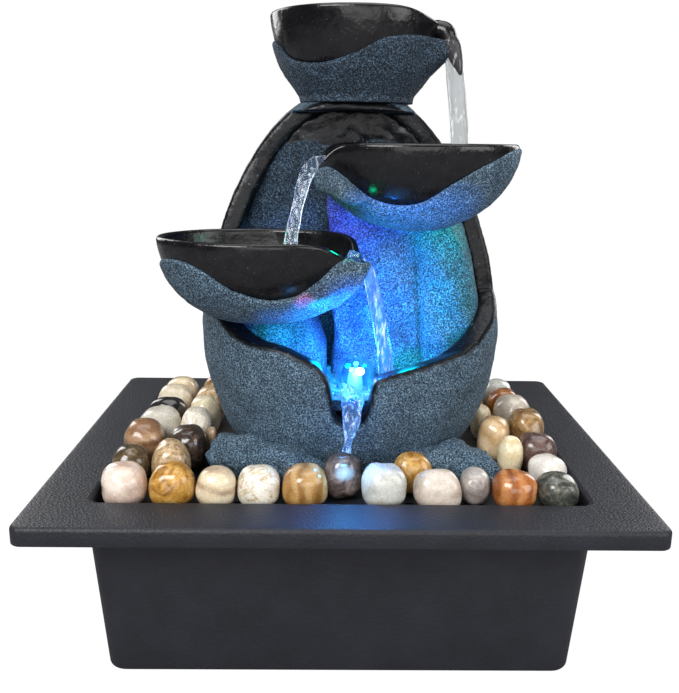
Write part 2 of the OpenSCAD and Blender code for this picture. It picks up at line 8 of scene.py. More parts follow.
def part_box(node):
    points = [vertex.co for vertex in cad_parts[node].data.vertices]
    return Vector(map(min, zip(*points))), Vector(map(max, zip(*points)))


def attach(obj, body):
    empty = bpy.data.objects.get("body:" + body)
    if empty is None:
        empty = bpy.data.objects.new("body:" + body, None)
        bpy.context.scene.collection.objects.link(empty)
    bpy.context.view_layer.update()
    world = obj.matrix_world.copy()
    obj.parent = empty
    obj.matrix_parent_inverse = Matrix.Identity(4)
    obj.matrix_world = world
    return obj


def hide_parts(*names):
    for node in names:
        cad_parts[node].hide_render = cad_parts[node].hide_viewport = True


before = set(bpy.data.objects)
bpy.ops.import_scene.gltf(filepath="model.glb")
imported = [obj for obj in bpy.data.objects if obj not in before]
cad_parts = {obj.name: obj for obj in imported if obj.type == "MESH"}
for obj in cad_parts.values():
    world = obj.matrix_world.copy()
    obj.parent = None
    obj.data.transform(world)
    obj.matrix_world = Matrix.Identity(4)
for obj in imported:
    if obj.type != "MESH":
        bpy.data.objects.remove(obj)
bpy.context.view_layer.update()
MM = 0.001
BODY = "sculpture"


def srgb(*c):
    """A colour on the 0 to 255 scale, as the linear values that shaders take."""
    return tuple(((v / 255 + 0.055) / 1.055) ** 2.4 if v > 10 else v / 255 / 12.92 for v in c)


# ------------------------------------------------------------------ camera, light, floor

def make_camera():
    pitch, yaw, roll = (math.radians(a) for a in (14.0, -0.82, -0.75))
    turn = Matrix.Rotation(yaw, 3, "Z") @ Matrix.Rotation(-pitch, 3, "X") @ Matrix.Rotation(roll, 3, "Y")
    right, ahead, up = (turn.col[k] for k in range(3))
    pose = Matrix((right, up, -ahead)).transposed().to_4x4()
    pose.translation = Vector((-0.00515, -0.3226, 0.1865))
    data = bpy.data.cameras.new("camera")
    data.sensor_width = 36
    data.lens = 36 * 830.5 / 693
    data.clip_start = 0.01
    cam = bpy.data.objects.new("camera", data)
    bpy.context.collection.objects.link(cam)
    cam.matrix_world = pose
    bpy.context.scene.camera = cam


def add_light(name, kind, at, power, colour=(1, 1, 1), size=0.1, aim=None, rides=None):
    data = bpy.data.lights.new(name, kind)
    data.energy = power
    data.color = colour
    if kind == "AREA":
        data.shape = "RECTANGLE"
        data.size, data.size_y = size if isinstance(size, tuple) else (size, size)
    else:
        data.shadow_soft_size = size
    light = bpy.data.objects.new(name, data)
    bpy.context.collection.objects.link(light)
    light.location = at
    if aim is not None:
        light.rotation_mode = "QUATERNION"
        light.rotation_quaternion = (Vector(aim) - Vector(at)).to_track_quat("-Z", "Y")
    if rides:
        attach(light, rides)
    return light


def make_studio():
    scene = bpy.context.scene
    scene.view_settings.view_transform = "Standard"
    world = bpy.data.worlds.new("studio")
    scene.world = world
    world.use_nodes = True
    nt = world.node_tree
    nt.nodes.clear()
    out = nt.nodes.new("ShaderNodeOutputWorld")
    seen, lit = nt.nodes.new("ShaderNodeBackground"), nt.nodes.new("ShaderNodeBackground")
    seen.inputs[0].default_value = (1, 1, 1, 1)
    lit.inputs[0].default_value = (0.94, 0.97, 1, 1)
    lit.inputs[1].default_value = 0.10
    path, mix = nt.nodes.new("ShaderNodeLightPath"), nt.nodes.new("ShaderNodeMixShader")
    nt.links.new(path.outputs["Is Camera Ray"], mix.inputs[0])
    nt.links.new(lit.outputs[0], mix.inputs[1])
    nt.links.new(seen.outputs[0], mix.inputs[2])
    nt.links.new(mix.outputs[0], out.inputs[0])

    add_light("key", "AREA", (-0.45, -0.75, 0.75), 10, size=0.5, aim=(0, 0, 0.12))
    add_light("fill", "AREA", (0.75, -0.55, 0.45), 4.5, size=0.6, aim=(0, 0, 0.12))
    add_light("front", "AREA", (0.05, -1.1, 0.30), 3.5, size=(0.9, 0.5), aim=(0, 0, 0.1))
    add_light("top", "AREA", (0.05, 0.05, 1.0), 5, size=(0.8, 0.8), aim=(0, 0, 0.1))
    add_light("rear_left", "AREA", (-0.6, 0.65, 0.5), 3, size=(0.35, 0.6), aim=(0, 0, 0.14))
    add_light("rear_right", "AREA", (0.65, 0.6, 0.45), 3, size=(0.35, 0.6), aim=(0, 0, 0.14))

    me = bpy.data.meshes.new("floor")
    s = 6.0
    me.from_pydata([(-s, -s, 0), (s, -s, 0), (s, s, 0), (-s, s, 0)], [], [(0, 1, 2, 3)])
    floor = bpy.data.objects.new("floor", me)
    bpy.context.collection.objects.link(floor)
    floor.location.z = -0.0002
    m, nt, b = material("studio_floor")
    b.inputs["Base Color"].default_value = (0.30, 0.30, 0.31, 1)
    b.inputs["Roughness"].default_value = 0.8
    b.inputs["Specular IOR Level"].default_value = 0.0
    pale = nt.nodes.new("ShaderNodeBsdfPrincipled")
    path, mixer = nt.nodes.new("ShaderNodeLightPath"), nt.nodes.new("ShaderNodeMixShader")
    pale.inputs["Base Color"].default_value = (0.04, 0.04, 0.04, 1)
    pale.inputs["Roughness"].default_value = 0.9
    pale.inputs["Specular IOR Level"].default_value = 0.0
    pale.inputs["Emission Color"].default_value = (1, 1, 1, 1)
    pale.inputs["Emission Strength"].default_value = 1.0
    nt.links.new(path.outputs["Is Camera Ray"], mixer.inputs[0])
    nt.links.new(b.outputs[0], mixer.inputs[1])
    nt.links.new(pale.outputs[0], mixer.inputs[2])
    nt.links.new(mixer.outputs[0], nt.nodes["Material Output"].inputs[0])
    me.materials.append(m)


# ------------------------------------------------------------------ shader helpers

def material(name):
    m = bpy.data.materials.new(name)
    m.use_nodes = True
    nt = m.node_tree
    nt.nodes.clear()
    out = nt.nodes.new("ShaderNodeOutputMaterial")
    b = nt.nodes.new("ShaderNodeBsdfPrincipled")
    nt.links.new(b.outputs[0], out.inputs[0])
    return m, nt, b


def coords(nt, stretch=(1, 1, 1), shift=(0, 0, 0)):
    tc, mp = nt.nodes.new("ShaderNodeTexCoord"), nt.nodes.new("ShaderNodeMapping")
    nt.links.new(tc.outputs["Object"], mp.inputs[0])
    mp.inputs["Scale"].default_value = stretch
    mp.inputs["Location"].default_value = shift
    return mp.outputs[0]


def noise(nt, v, scale, detail=2.0, rough=0.5, distort=0.0):
    n = nt.nodes.new("ShaderNodeTexNoise")
    nt.links.new(v, n.inputs["Vector"])
    n.inputs["Scale"].default_value = scale
    n.inputs["Detail"].default_value = detail
    n.inputs["Roughness"].default_value = rough
    n.inputs["Distortion"].default_value = distort
    return n.outputs["Fac"]


def voronoi(nt, v, scale, feature="F1", out="Distance"):
    n = nt.nodes.new("ShaderNodeTexVoronoi")
    n.feature = feature
    nt.links.new(v, n.inputs["Vector"])
    n.inputs["Scale"].default_value = scale
    return n.outputs[out]


def ramp(nt, fac, stops, kind="LINEAR"):
    n = nt.nodes.new("ShaderNodeValToRGB")
    n.color_ramp.interpolation = kind
    e = n.color_ramp.elements
    while len(e) < len(stops):
        e.new(0.5)
    for k, (at, c) in enumerate(stops):
        e[k].position = at
        e[k].color = (c, c, c, 1) if isinstance(c, (int, float)) else (*c[:3], 1)
    nt.links.new(fac, n.inputs[0])
    return n.outputs[0]


def mix(nt, fac, a, b, how="MIX"):
    n = nt.nodes.new("ShaderNodeMix")
    n.data_type = "RGBA"
    n.blend_type = how
    for k, val in ((0, fac), (6, a), (7, b)):
        if isinstance(val, bpy.types.NodeSocket):
            nt.links.new(val, n.inputs[k])
        elif isinstance(val, (int, float)):
            n.inputs[k].default_value = val if k == 0 else (val, val, val, 1)
        else:
            n.inputs[k].default_value = (*val[:3], 1)
    return n.outputs[2]


def calc(nt, op, a, b=0.0, c=None, clamp=False):
    n = nt.nodes.new("ShaderNodeMath")
    n.operation = op
    n.use_clamp = clamp
    for k, val in enumerate((a, b) if c is None else (a, b, c)):
        if isinstance(val, bpy.types.NodeSocket):
            nt.links.new(val, n.inputs[k])
        else:
            n.inputs[k].default_value = val
    return n.outputs[0]


def vary(nt, v, b, socket, scale, detail, low, high):
    """Lets a shader's value drift between two by noise."""
    nt.links.new(ramp(nt, noise(nt, v, scale, detail), [(0.3, low), (0.7, high)]), b.inputs[socket])


def bump(nt, height, strength, depth, under=None):
    n = nt.nodes.new("ShaderNodeBump")
    n.inputs["Strength"].default_value = strength
    n.inputs["Distance"].default_value = depth
    nt.links.new(height, n.inputs["Height"])
    if under is not None:
        nt.links.new(under, n.inputs["Normal"])
    return n.outputs[0]


def attribute(nt, name):
    n = nt.nodes.new("ShaderNodeAttribute")
    n.attribute_name = name
    return n.outputs["Fac"]


def spot(nt, at, size):
    """1 at a place in the object's own space, falling to 0 at an oval's edge."""
    tc, mp = nt.nodes.new("ShaderNodeTexCoord"), nt.nodes.new("ShaderNodeMapping")
    nt.links.new(tc.outputs["Object"], mp.inputs[0])
    inv = [1 / (s * MM) for s in size]
    mp.inputs["Scale"].default_value = inv
    mp.inputs["Location"].default_value = [-a * MM * k for a, k in zip(at, inv)]
    g = nt.nodes.new("ShaderNodeTexGradient")
    g.gradient_type = "SPHERICAL"
    nt.links.new(mp.outputs[0], g.inputs[0])
    return g.outputs["Fac"]


# ------------------------------------------------------------------ materials

def cast_material(name, dark, mid, light, painted_light=None):
    """Sand-textured casting with pale grains. The mesh attribute paint marks the glossy black enamel."""
    m, nt, b = material(name)
    v = coords(nt)
    grain = noise(nt, v, 1850, 3, 0.66)
    broad = noise(nt, v, 95, 3, 0.55)
    fleck = noise(nt, coords(nt, shift=(0.3, 0.1, 0.2)), 2300, 1, 0.5)
    col = ramp(nt, grain, [(0.37, dark), (0.46, [0.6 * p + 0.4 * q for p, q in zip(dark, mid)]), (0.53, mid),
                           (0.60, [0.5 * p + 0.5 * q for p, q in zip(mid, light)]), (0.68, light)])
    col = mix(nt, ramp(nt, fleck, [(0.62, 0), (0.72, 1)]), col, light)
    col = mix(nt, 1.0, col, ramp(nt, broad, [(0.3, 0.72), (0.7, 1.22)]), "MULTIPLY")
    paint = calc(nt, "MULTIPLY", attribute(nt, "paint"), 1.0, clamp=True)
    chip = ramp(nt, noise(nt, v, 700, 3, 0.6), [(0.30, 0), (0.36, 1)])
    enamel = calc(nt, "MULTIPLY", paint, chip)
    nt.links.new(mix(nt, enamel, col, srgb(10, 11, 15)), b.inputs["Base Color"])
    rough = ramp(nt, grain, [(0.35, 0.85), (0.7, 0.48)])
    nt.links.new(mix(nt, enamel, rough, 0.30), b.inputs["Roughness"])
    lumps = bump(nt, noise(nt, v, 420, 3, 0.6), 0.6, 0.0009)
    sand = bump(nt, grain, 1.0, 0.0008, lumps)
    smooth = bump(nt, noise(nt, v, 260, 3, 0.6), 0.6, 0.0006)
    n = nt.nodes.new("ShaderNodeMix")
    n.data_type = "VECTOR"
    nt.links.new(enamel, n.inputs[0])
    nt.links.new(sand, n.inputs[4])
    nt.links.new(smooth, n.inputs[5])
    nt.links.new(n.outputs[1], b.inputs["Normal"])
    nt.links.new(mix(nt, enamel, 0.45, 0.26), b.inputs["Specular IOR Level"])
    # painted lamp light: oval patches of the pool lamp's coloured light, painted in as emission and broken up
    # by the grain
    if painted_light:
        painted_light_sum = None
        for at, size, c in painted_light:
            one = mix(nt, spot(nt, at, size), (0, 0, 0), c)
            painted_light_sum = one if painted_light_sum is None else mix(nt, 1.0, painted_light_sum, one, "ADD")
        grains = ramp(nt, grain, [(0.36, 0.12), (0.47, 0.45), (0.55, 1.0), (0.66, 2.4)])
        lit = mix(nt, 1.0, painted_light_sum, grains, "MULTIPLY")
        nt.links.new(lit, b.inputs["Emission Color"])
        b.inputs["Emission Strength"].default_value = 1.0
    return m


def enamel_material(name):
    m, nt, b = material(name)
    v = coords(nt)
    b.inputs["IOR"].default_value = 1.42
    col = ramp(nt, noise(nt, v, 300, 3), [(0.35, srgb(9, 9, 11)), (0.7, srgb(20, 19, 22))])
    speck = ramp(nt, noise(nt, v, 2600, 1), [(0.74, 0), (0.80, 1)])
    nt.links.new(mix(nt, speck, col, srgb(120, 125, 135)), b.inputs["Base Color"])
    vary(nt, v, b, "Roughness", 190, 3, 0.16, 0.33)
    b.inputs["Coat Weight"].default_value = 0.12
    b.inputs["Coat Roughness"].default_value = 0.12
    low = bump(nt, noise(nt, v, 130, 3, 0.6), 0.45, 0.0010)
    nt.links.new(bump(nt, noise(nt, v, 900, 2, 0.5), 0.25, 0.0002, low), b.inputs["Normal"])
    return m


def leather_material(name):
    """Charcoal plastic with a leather grain."""
    m, nt, b = material(name)
    v = coords(nt)
    cells = voronoi(nt, coords(nt), 1050)
    fine = noise(nt, v, 1500, 3, 0.6)
    nt.links.new(ramp(nt, noise(nt, v, 60, 4, 0.6), [(0.3, srgb(25, 26, 32)), (0.7, srgb(34, 35, 42))]),
                 b.inputs["Base Color"])
    nt.links.new(ramp(nt, fine, [(0.3, 0.42), (0.7, 0.58)]), b.inputs["Roughness"])
    b.inputs["Specular IOR Level"].default_value = 0.42
    low = bump(nt, cells, 0.42, 0.00028)
    nt.links.new(bump(nt, fine, 0.25, 0.00012, low), b.inputs["Normal"])
    return m


def plastic_material(name, c, rough=0.45, scale=900, grain=0.15):
    m, nt, b = material(name)
    v = coords(nt)
    c2 = [min(1, 1.25 * k + 0.004) for k in c]
    vary(nt, v, b, "Base Color", 120, 3, c, c2)
    vary(nt, v, b, "Roughness", 500, 2, rough * 0.85, min(1, rough * 1.15))
    nt.links.new(bump(nt, noise(nt, v, scale, 2), grain, 0.0002), b.inputs["Normal"])
    return m


def metal_material(name):
    m, nt, b = material(name)
    b.inputs["Metallic"].default_value = 1.0
    v = coords(nt, (30, 1, 30))
    vary(nt, v, b, "Base Color", 900, 2, 0.50, 0.66)
    vary(nt, v, b, "Roughness", 500, 2, 0.2, 0.32)
    return m


def clear_material(name, tint, rough=0.05, ior=1.45):
    m, nt, b = material(name)
    b.inputs["Transmission Weight"].default_value = 1.0
    b.inputs["IOR"].default_value = ior
    v = coords(nt)
    vary(nt, v, b, "Base Color", 150, 2, tint, [min(1, 1.05 * k) for k in tint])
    vary(nt, v, b, "Roughness", 400, 2, rough, rough * 1.8)
    nt.links.new(bump(nt, noise(nt, v, 500, 2), 0.1, 0.0002), b.inputs["Normal"])
    return m


def water_material(name, foam, tint, painted_light=None, strength=0.0, stretch=(1, 1, 0.22), body=0.0):
    """Clear water with pale streaks along its fall. body is how far it is from clear."""
    m, nt, b = material(name)
    v = coords(nt, stretch)
    streak = noise(nt, v, 900, 3, 0.6, 0.4)
    mask = ramp(nt, streak, [(0.60 - 0.25 * foam, 0), (0.74 - 0.18 * foam, 1)])
    nt.links.new(mix(nt, mask, tint, (0.95, 0.98, 1.0)), b.inputs["Base Color"])
    b.inputs["IOR"].default_value = 1.33
    nt.links.new(mix(nt, mask, 0.03, 0.28), b.inputs["Roughness"])
    nt.links.new(mix(nt, mask, 1.0 - body, 0.42), b.inputs["Transmission Weight"])
    nt.links.new(bump(nt, streak, 0.5, 0.0006), b.inputs["Normal"])
    # painted lamp light: the water glows in the lamp's colour by emission, fuller in the streaks
    if painted_light:
        nt.links.new(mix(nt, mask, [0.35 * k for k in painted_light], painted_light), b.inputs["Emission Color"])
        b.inputs["Emission Strength"].default_value = strength
    return m


def pebble_material(name, kind, shades, seed, gloss=0.2, turn=0.0, painted_light=None):
    """A polished stone: plain, mottled, banded, veined or speckled in its own two or three shades."""
    m, nt, b = material(name)
    v = coords(nt, shift=(seed * 0.137, seed * 0.071, seed * 0.193))
    low, mid, high = [srgb(*s) for s in shades]
    soft = noise(nt, v, 90, 4, 0.6, 0.6)
    fine = noise(nt, v, 1400, 3, 0.7)
    if kind == "bands":
        w = nt.nodes.new("ShaderNodeTexWave")
        w.bands_direction = "DIAGONAL" if turn == 0 else ("X" if turn > 0 else "Z")
        nt.links.new(v, w.inputs["Vector"])
        w.inputs["Scale"].default_value = 58
        w.inputs["Distortion"].default_value = 3.6
        w.inputs["Detail"].default_value = 3
        w.inputs["Detail Scale"].default_value = 1.6
        col = ramp(nt, w.outputs["Fac"], [(0.05, low), (0.45, mid), (0.85, high)])
        col = mix(nt, ramp(nt, soft, [(0.34, 0.25), (0.62, 0.9)]), col, mid)
    elif kind == "veins":
        vein = noise(nt, v, 130, 3, 0.55, 1.6)
        col = ramp(nt, vein, [(0.44, high), (0.485, mid), (0.50, low), (0.515, mid), (0.56, high)])
        col = mix(nt, ramp(nt, soft, [(0.45, 0), (0.7, 0.5)]), col, mid)
    elif kind == "speckle":
        col = ramp(nt, noise(nt, v, 620, 3, 0.7), [(0.36, low), (0.5, mid), (0.66, high)])
    elif kind == "mottle":
        col = ramp(nt, noise(nt, v, 210, 5, 0.7, 0.9), [(0.34, low), (0.5, mid), (0.66, high)])
    else:
        col = ramp(nt, soft, [(0.32, low), (0.52, mid), (0.72, high)])
    col = mix(nt, 1.0, col, ramp(nt, fine, [(0.3, 0.86), (0.7, 1.1)]), "MULTIPLY")
    nt.links.new(col, b.inputs["Base Color"])
    nt.links.new(ramp(nt, fine, [(0.3, gloss), (0.75, gloss + 0.18)]), b.inputs["Roughness"])
    b.inputs["Coat Weight"].default_value = 0.55
    b.inputs["Coat Roughness"].default_value = 0.09
    b.inputs["Subsurface Weight"].default_value = 0.0
    nt.links.new(bump(nt, noise(nt, v, 260, 3), 0.25, 0.0005), b.inputs["Normal"])
    # painted highlight: an oval of emission in the lamp's colour stands for the lamp's reflection on the wet
    # stone
    if painted_light:
        at, size, c, power = painted_light
        nt.links.new(mix(nt, spot(nt, at, size), (0, 0, 0), c), b.inputs["Emission Color"])
        b.inputs["Emission Strength"].default_value = power
    return m


# ------------------------------------------------------------------ mesh helpers (millimetres)

def finish_piece(name, verts, faces, mat, nodes=(), body=BODY, attr=None, smooth=True):
    me = bpy.data.meshes.new(name)
    me.from_pydata((np.asarray(verts, float) * MM).tolist(), [], [list(map(int, f)) for f in faces])
    me.validate()
    me.polygons.foreach_set("use_smooth", [smooth] * len(me.polygons))
    if attr is not None:
        a = me.attributes.new("paint", "FLOAT", "POINT")
        a.data.foreach_set("value", np.asarray(attr, np.float32))
    me.update()
    me.materials.append(mat)
    o = bpy.data.objects.new(name, me)
    bpy.context.collection.objects.link(o)
    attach(o, body)
    if nodes:
        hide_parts(*nodes)
    return o


def join(parts):
    """One vertex list and face list from several."""
    verts, faces, n = [], [], 0
    for v, f in parts:
        verts.append(np.asarray(v, float))
        faces += [[i + n for i in q] for q in f]
        n += len(v)
    return np.concatenate(verts), faces


def loft(rings, closed=True, flip=False):
    """Faces through rings of equally many points, with a centre point at each open end."""
    r = np.asarray(rings, float)
    m, n, _ = r.shape
    v = r.reshape(-1, 3)
    last = m if not closed else m - 1
    f = []
    for j in range(m - 1 if closed else m):
        k = (j + 1) % m
        f += [[j * n + i, j * n + (i + 1) % n, k * n + (i + 1) % n, k * n + i] for i in range(n)]
    if closed:
        v = np.concatenate([v, [r[0].mean(0)], [r[-1].mean(0)]])
        f += [[m * n, (i + 1) % n, i] for i in range(n)]
        f += [[m * n + 1, (m - 1) * n + i, (m - 1) * n + (i + 1) % n] for i in range(n)]
    if flip:
        f = [q[::-1] for q in f]
    return v, f


class Lattice:
    """Smooth value noise on a seeded lattice."""

    def __init__(self, seed, n=32):
        self.n = n
        self.v = np.random.default_rng(seed).uniform(-1, 1, (n, n, n))

    def at(self, p, scale):
        q = np.asarray(p, float) / scale + 1000.0
        i = np.floor(q).astype(int)
        t = q - i
        t = t * t * (3 - 2 * t)
        out = 0
        for c in range(8):
            d = np.array([c & 1, c >> 1 & 1, c >> 2])
            w = np.prod(np.where(d, t, 1 - t), axis=-1)
            k = (i + d) % self.n
            out = out + w * self.v[k[..., 0], k[..., 1], k[..., 2]]
        return out


def surface(axes, field):
    """Vertices and faces of the zero level of a sampled field, negative inside."""
    h = axes[0][1] - axes[0][0]
    s = field < 0
    nx, ny, nz = field.shape
    count = sum(s[a:nx - 1 + a, b:ny - 1 + b, c:nz - 1 + c].astype(np.uint8)
                for a in (0, 1) for b in (0, 1) for c in (0, 1))
    active = (count > 0) & (count < 8)
    index = np.full(active.shape, -1, np.int64)
    ijk = np.argwhere(active)
    index[active] = np.arange(len(ijk))
    pos, hits = np.zeros((len(ijk), 3)), np.zeros(len(ijk))
    for axis in range(3):
        o1, o2 = [k for k in range(3) if k != axis]
        for a in (0, 1):
            for b in (0, 1):
                off = np.zeros(3, int)
                off[o1], off[o2] = a, b
                p = ijk + off
                q = p.copy()
                q[:, axis] += 1
                f0, f1 = field[tuple(p.T)], field[tuple(q.T)]
                cross = (f0 < 0) != (f1 < 0)
                t = np.where(cross, f0 / np.where(cross, f0 - f1, 1), 0)
                at = np.tile(off.astype(float), (len(ijk), 1))
                at[:, axis] = t
                pos += np.where(cross[:, None], at, 0)
                hits += cross
    verts = np.array([a[0] for a in axes]) + h * (ijk + pos / hits[:, None])
    quads = []
    for a in range(3):
        b, c = (a + 1) % 3, (a + 2) % 3
        lo, hi = [slice(None)] * 3, [slice(None)] * 3
        lo[a], hi[a] = slice(0, -1), slice(1, None)
        change = s[tuple(lo)] != s[tuple(hi)]
        at = np.argwhere(change)
        within = (at[:, b] > 0) & (at[:, c] > 0)
        at = at[within & (at[:, b] < field.shape[b] - 1) & (at[:, c] < field.shape[c] - 1)]
        low_in = s[tuple(at.T)]
        corner = []
        for db, dc in ((0, 0), (-1, 0), (-1, -1), (0, -1)):
            q = at.copy()
            q[:, b] += db
            q[:, c] += dc
            corner.append(index[tuple(q.T)])
        q = np.stack(corner, 1)
        q[~low_in] = q[~low_in][:, ::-1]
        quads.append(q)
    return verts, np.concatenate(quads)


def grid(lo, hi, h):
    axes = [np.arange(lo[k], hi[k] + h, h) for k in range(3)]
    return axes, np.meshgrid(*axes, indexing="ij")


def true(field, h, cap=8.0):
    """The field divided by its own slope, so that it reads in millimetres near its zero level."""
    g = np.gradient(field, h)
    return np.clip(field / np.maximum(np.sqrt(g[0] ** 2 + g[1] ** 2 + g[2] ** 2), 1e-4), -cap, cap)


def soft_max(a, b, r):
    k = np.maximum(r - np.abs(a - b), 0) / r
    return np.maximum(a, b) + k * k * r / 4


def soft_min(a, b, r):
    return -soft_max(-a, -b, r)


def normals_of(verts, quads):
    v = np.asarray(verts)
    q = np.asarray(quads)
    n = np.cross(v[q[:, 2]] - v[q[:, 0]], v[q[:, 3]] - v[q[:, 1]])
    out = np.zeros_like(v)
    for k in range(4):
        np.add.at(out, q[:, k], n)
    return out / np.maximum(np.linalg.norm(out, axis=1), 1e-9)[:, None]


ROUGH = Lattice(7)


def roughen(verts, quads, amounts, mask=None):
    """Moves the points along the surface's normal by noise of several sizes."""
    n = normals_of(verts, quads)
    d = sum(a * ROUGH.at(verts + 13.7 * k, s) for k, (s, a) in enumerate(amounts))
    if mask is not None:
        d = d * mask
    return verts + n * d[:, None]


def smooth_line(p, n):
    p = np.asarray(p, float)
    out = []
    last = len(p) - 1
    for i in range(last):
        a, b, c, d = p[max(i - 1, 0)], p[i], p[i + 1], p[min(i + 2, last)]
        for k in range(n):
            t = k / n
            out.append(0.5 * (2 * b + (c - a) * t + (2 * a - 5 * b + 4 * c - d) * t * t
                              + (3 * b - a - 3 * c + d) * t ** 3))
    out.append(p[last])
    return np.array(out)


def outline_distance(u, v, poly):
    """Distance to a closed outline in the plane, negative inside."""
    d = np.full(np.shape(u), 1e9)
    inside = np.zeros(np.shape(u), bool)
    for k in range(len(poly)):
        (ax, ay), (bx, by) = poly[k], poly[(k + 1) % len(poly)]
        ex, ey = bx - ax, by - ay
        t = np.clip(((u - ax) * ex + (v - ay) * ey) / max(ex * ex + ey * ey, 1e-9), 0, 1)
        d = np.minimum(d, np.hypot(u - ax - t * ex, v - ay - t * ey))
        if ay != by:
            inside ^= ((ay > v) != (by > v)) & (u < ex * (v - ay) / (by - ay) + ax)
    return np.where(inside, -d, d)


# ------------------------------------------------------------------ the casting's shapes

EGG_W, EGG_D, EGG_Z, EGG_UP, EGG_DOWN, EGG_P, EGG_X, LEAN = 58, 44.5, 112, 96, 72, 1.86, 3.7, 14
SHELL_T, NECK, DECK_TOP, POOL_Z = 8, 200, 62.5, 94
TUBE_X, TUBE_Y, TUBE_HOLE = 4, 18, 5.4
LAMP_X, LAMP_Y, LAMP_R, LENS_Z = 5, -24, 7.2, 96.1

# Each bowl: middle, half sizes, rim height, depth, profile power, spout angle, spout dip, spout reach, edge.
UPPER = [(5, 18), (33.4, 32), 233, 39, 2, -24, 4, 1,
         [(0, 221.5), (120, 221), (192, 222.5), (213, 215.5), (240, 213.5), (266, 216.5), (288, 222),
          (320, 223.5), (360, 221.5)]]
MIDDLE = [(26, -20), (35.8, 26.5), 185.6, 31, 2, 185, 8, 3,
          [(0, 184), (60, 179), (120, 175), (184, 174.5), (202, 177.5), (216, 174.5), (230, 167.5),
           (250, 165), (272, 166.5), (292, 174), (312, 180), (330, 183.5), (360, 184)]]
LOWER = [(-30, -28), (35.8, 25.5), 153.2, 31.5, 2.1, -18, 8, 6,
         [(0, 143), (60, 140), (120, 139), (180, 142), (204, 146), (225, 146.5), (240, 143.5), (256, 137),
          (280, 133.5), (301, 135), (312, 140), (323, 146), (335, 147.5), (360, 143)]]
CRADLE_T, LINER_T = 3, 2.5

OUTLINE = np.concatenate([smooth_line(
    [(-75, 121), (-50, 120), (-40, 117.5), (-32, 115.5), (-23, 115), (-15.5, 112.5), (-8, 109),
     (-4.5, 103), (-1.5, 89), (7.5, 89), (11, 103), (15.5, 106), (29, 109), (40, 111.5), (50, 113.5),
     (60, 115), (75, 117)], 4), [(75, 215), (-75, 215)]])
LIP_SLOPE, LIP_FROM, CUT_BACK, CUT_TOP = 0.5, -30, 8, 196.5


def egg(x, y, z, g):
    back = np.where(z > EGG_Z, LEAN * ((z - EGG_Z) / (NECK - EGG_Z)) ** 2, 0)
    r = np.hypot((x - EGG_X) / (EGG_W + g), (y - back) / (EGG_D + g))
    s = np.abs(z - EGG_Z) / (np.where(z > EGG_Z, EGG_UP, EGG_DOWN) + g)
    return ((r ** EGG_P + s ** EGG_P) ** (1 / EGG_P) - 1) * 50


OUTLINE_X, OUTLINE_Z = np.arange(-80, 81.0), np.arange(40, 241.0)
OUTLINE_MAP = outline_distance(*np.meshgrid(OUTLINE_X, OUTLINE_Z, indexing="ij"), OUTLINE)


def outline_at(x, z):
    """The outline's distance, read from a map of it."""
    u = np.clip(x - OUTLINE_X[0], 0, len(OUTLINE_X) - 1.001)
    v = np.clip(z - OUTLINE_Z[0], 0, len(OUTLINE_Z) - 1.001)
    i, j = u.astype(int), v.astype(int)
    u, v, m = u - i, v - j, OUTLINE_MAP
    low = m[i, j] * (1 - u) + m[i + 1, j] * u
    high = m[i, j + 1] * (1 - u) + m[i + 1, j + 1] * u
    return low * (1 - v) + high * v


def opening(x, y, z):
    """Negative where the shell is cut away: above a lip that slopes down outwards, before a leaning face."""
    lean = np.where(z > EGG_Z, np.minimum(LEAN * ((z - EGG_Z) / (NECK - EGG_Z)) ** 2, CUT_BACK), 0)
    lean = np.where(z > CUT_TOP, 0, lean)
    lip = np.maximum(outline_at(x + 0 * y, z + 0 * y), outline_at(x + 0 * z, z - LIP_SLOPE * (y - LIP_FROM)))
    return np.maximum(lip, y - lean)


def turn_gap(a, b):
    return np.abs((a - b + 540) % 360 - 180)


def near(t, at, width):
    return np.exp(-(turn_gap(t, at) / width) ** 2)


def rim_z(b, t):
    return b[2] - b[6] * near(t, b[5], 24)


def edge_z(b, t):
    """The cradle's edge height at a plan angle, on a smooth line through its table."""
    ang, hei = (np.array([k[c] for k in b[8]], float) for c in (0, 1))
    last = len(ang) - 1
    t = np.asarray(t, float) % 360
    i = np.clip(np.searchsorted(ang, t, side="right") - 1, 0, last - 1)
    s = (t - ang[i]) / (ang[i + 1] - ang[i])
    p0, p1, p2 = hei[np.where(i > 0, i - 1, last - 1)], hei[i], hei[i + 1]
    p3 = hei[np.where(i + 1 < last, np.minimum(i + 2, last), 1)]
    return 0.5 * (2 * p1 + (p2 - p0) * s + (2 * p0 - 5 * p1 + 4 * p2 - p3) * s * s
                  + (3 * p1 - p0 - 3 * p2 + p3) * s ** 3)


def bowl_point(b, t, z, side, down):
    s = np.clip((b[2] - z) / (b[3] - CRADLE_T + down), 0, 1)
    k = (1 - s ** b[4]) ** (1 / b[4])
    reach = b[7] * near(t, b[5], 12) * k
    ct, st = np.cos(np.radians(t)), np.sin(np.radians(t))
    sp = math.radians(b[5])
    return np.stack([b[0][0] + (b[1][0] + side) * k * ct + reach * math.cos(sp),
                     b[0][1] + (b[1][1] + side) * k * st + reach * math.sin(sp), z + 0 * t], -1)


def bowl(b, x, y, z, side, down):
    """The bowl's body, with no top, and the plan angle of each place."""
    s = np.maximum((b[2] - z) / (b[3] - CRADLE_T + down), 0)
    k = np.maximum(1 - np.minimum(s, 1) ** b[4], 0) ** (1 / b[4])
    sp = math.radians(b[5])
    px, py = x - b[0][0], y - b[0][1]
    reach = 0
    for _ in range(3):
        u, v = (px - reach * math.cos(sp)) / (b[1][0] + side), (py - reach * math.sin(sp)) / (b[1][1] + side)
        t = np.degrees(np.arctan2(v, u)) % 360
        reach = b[7] * near(t, b[5], 12) * k
    r = np.hypot(u, v)
    return ((r ** b[4] + s ** b[4]) ** (1 / b[4]) - 1) * 30, t


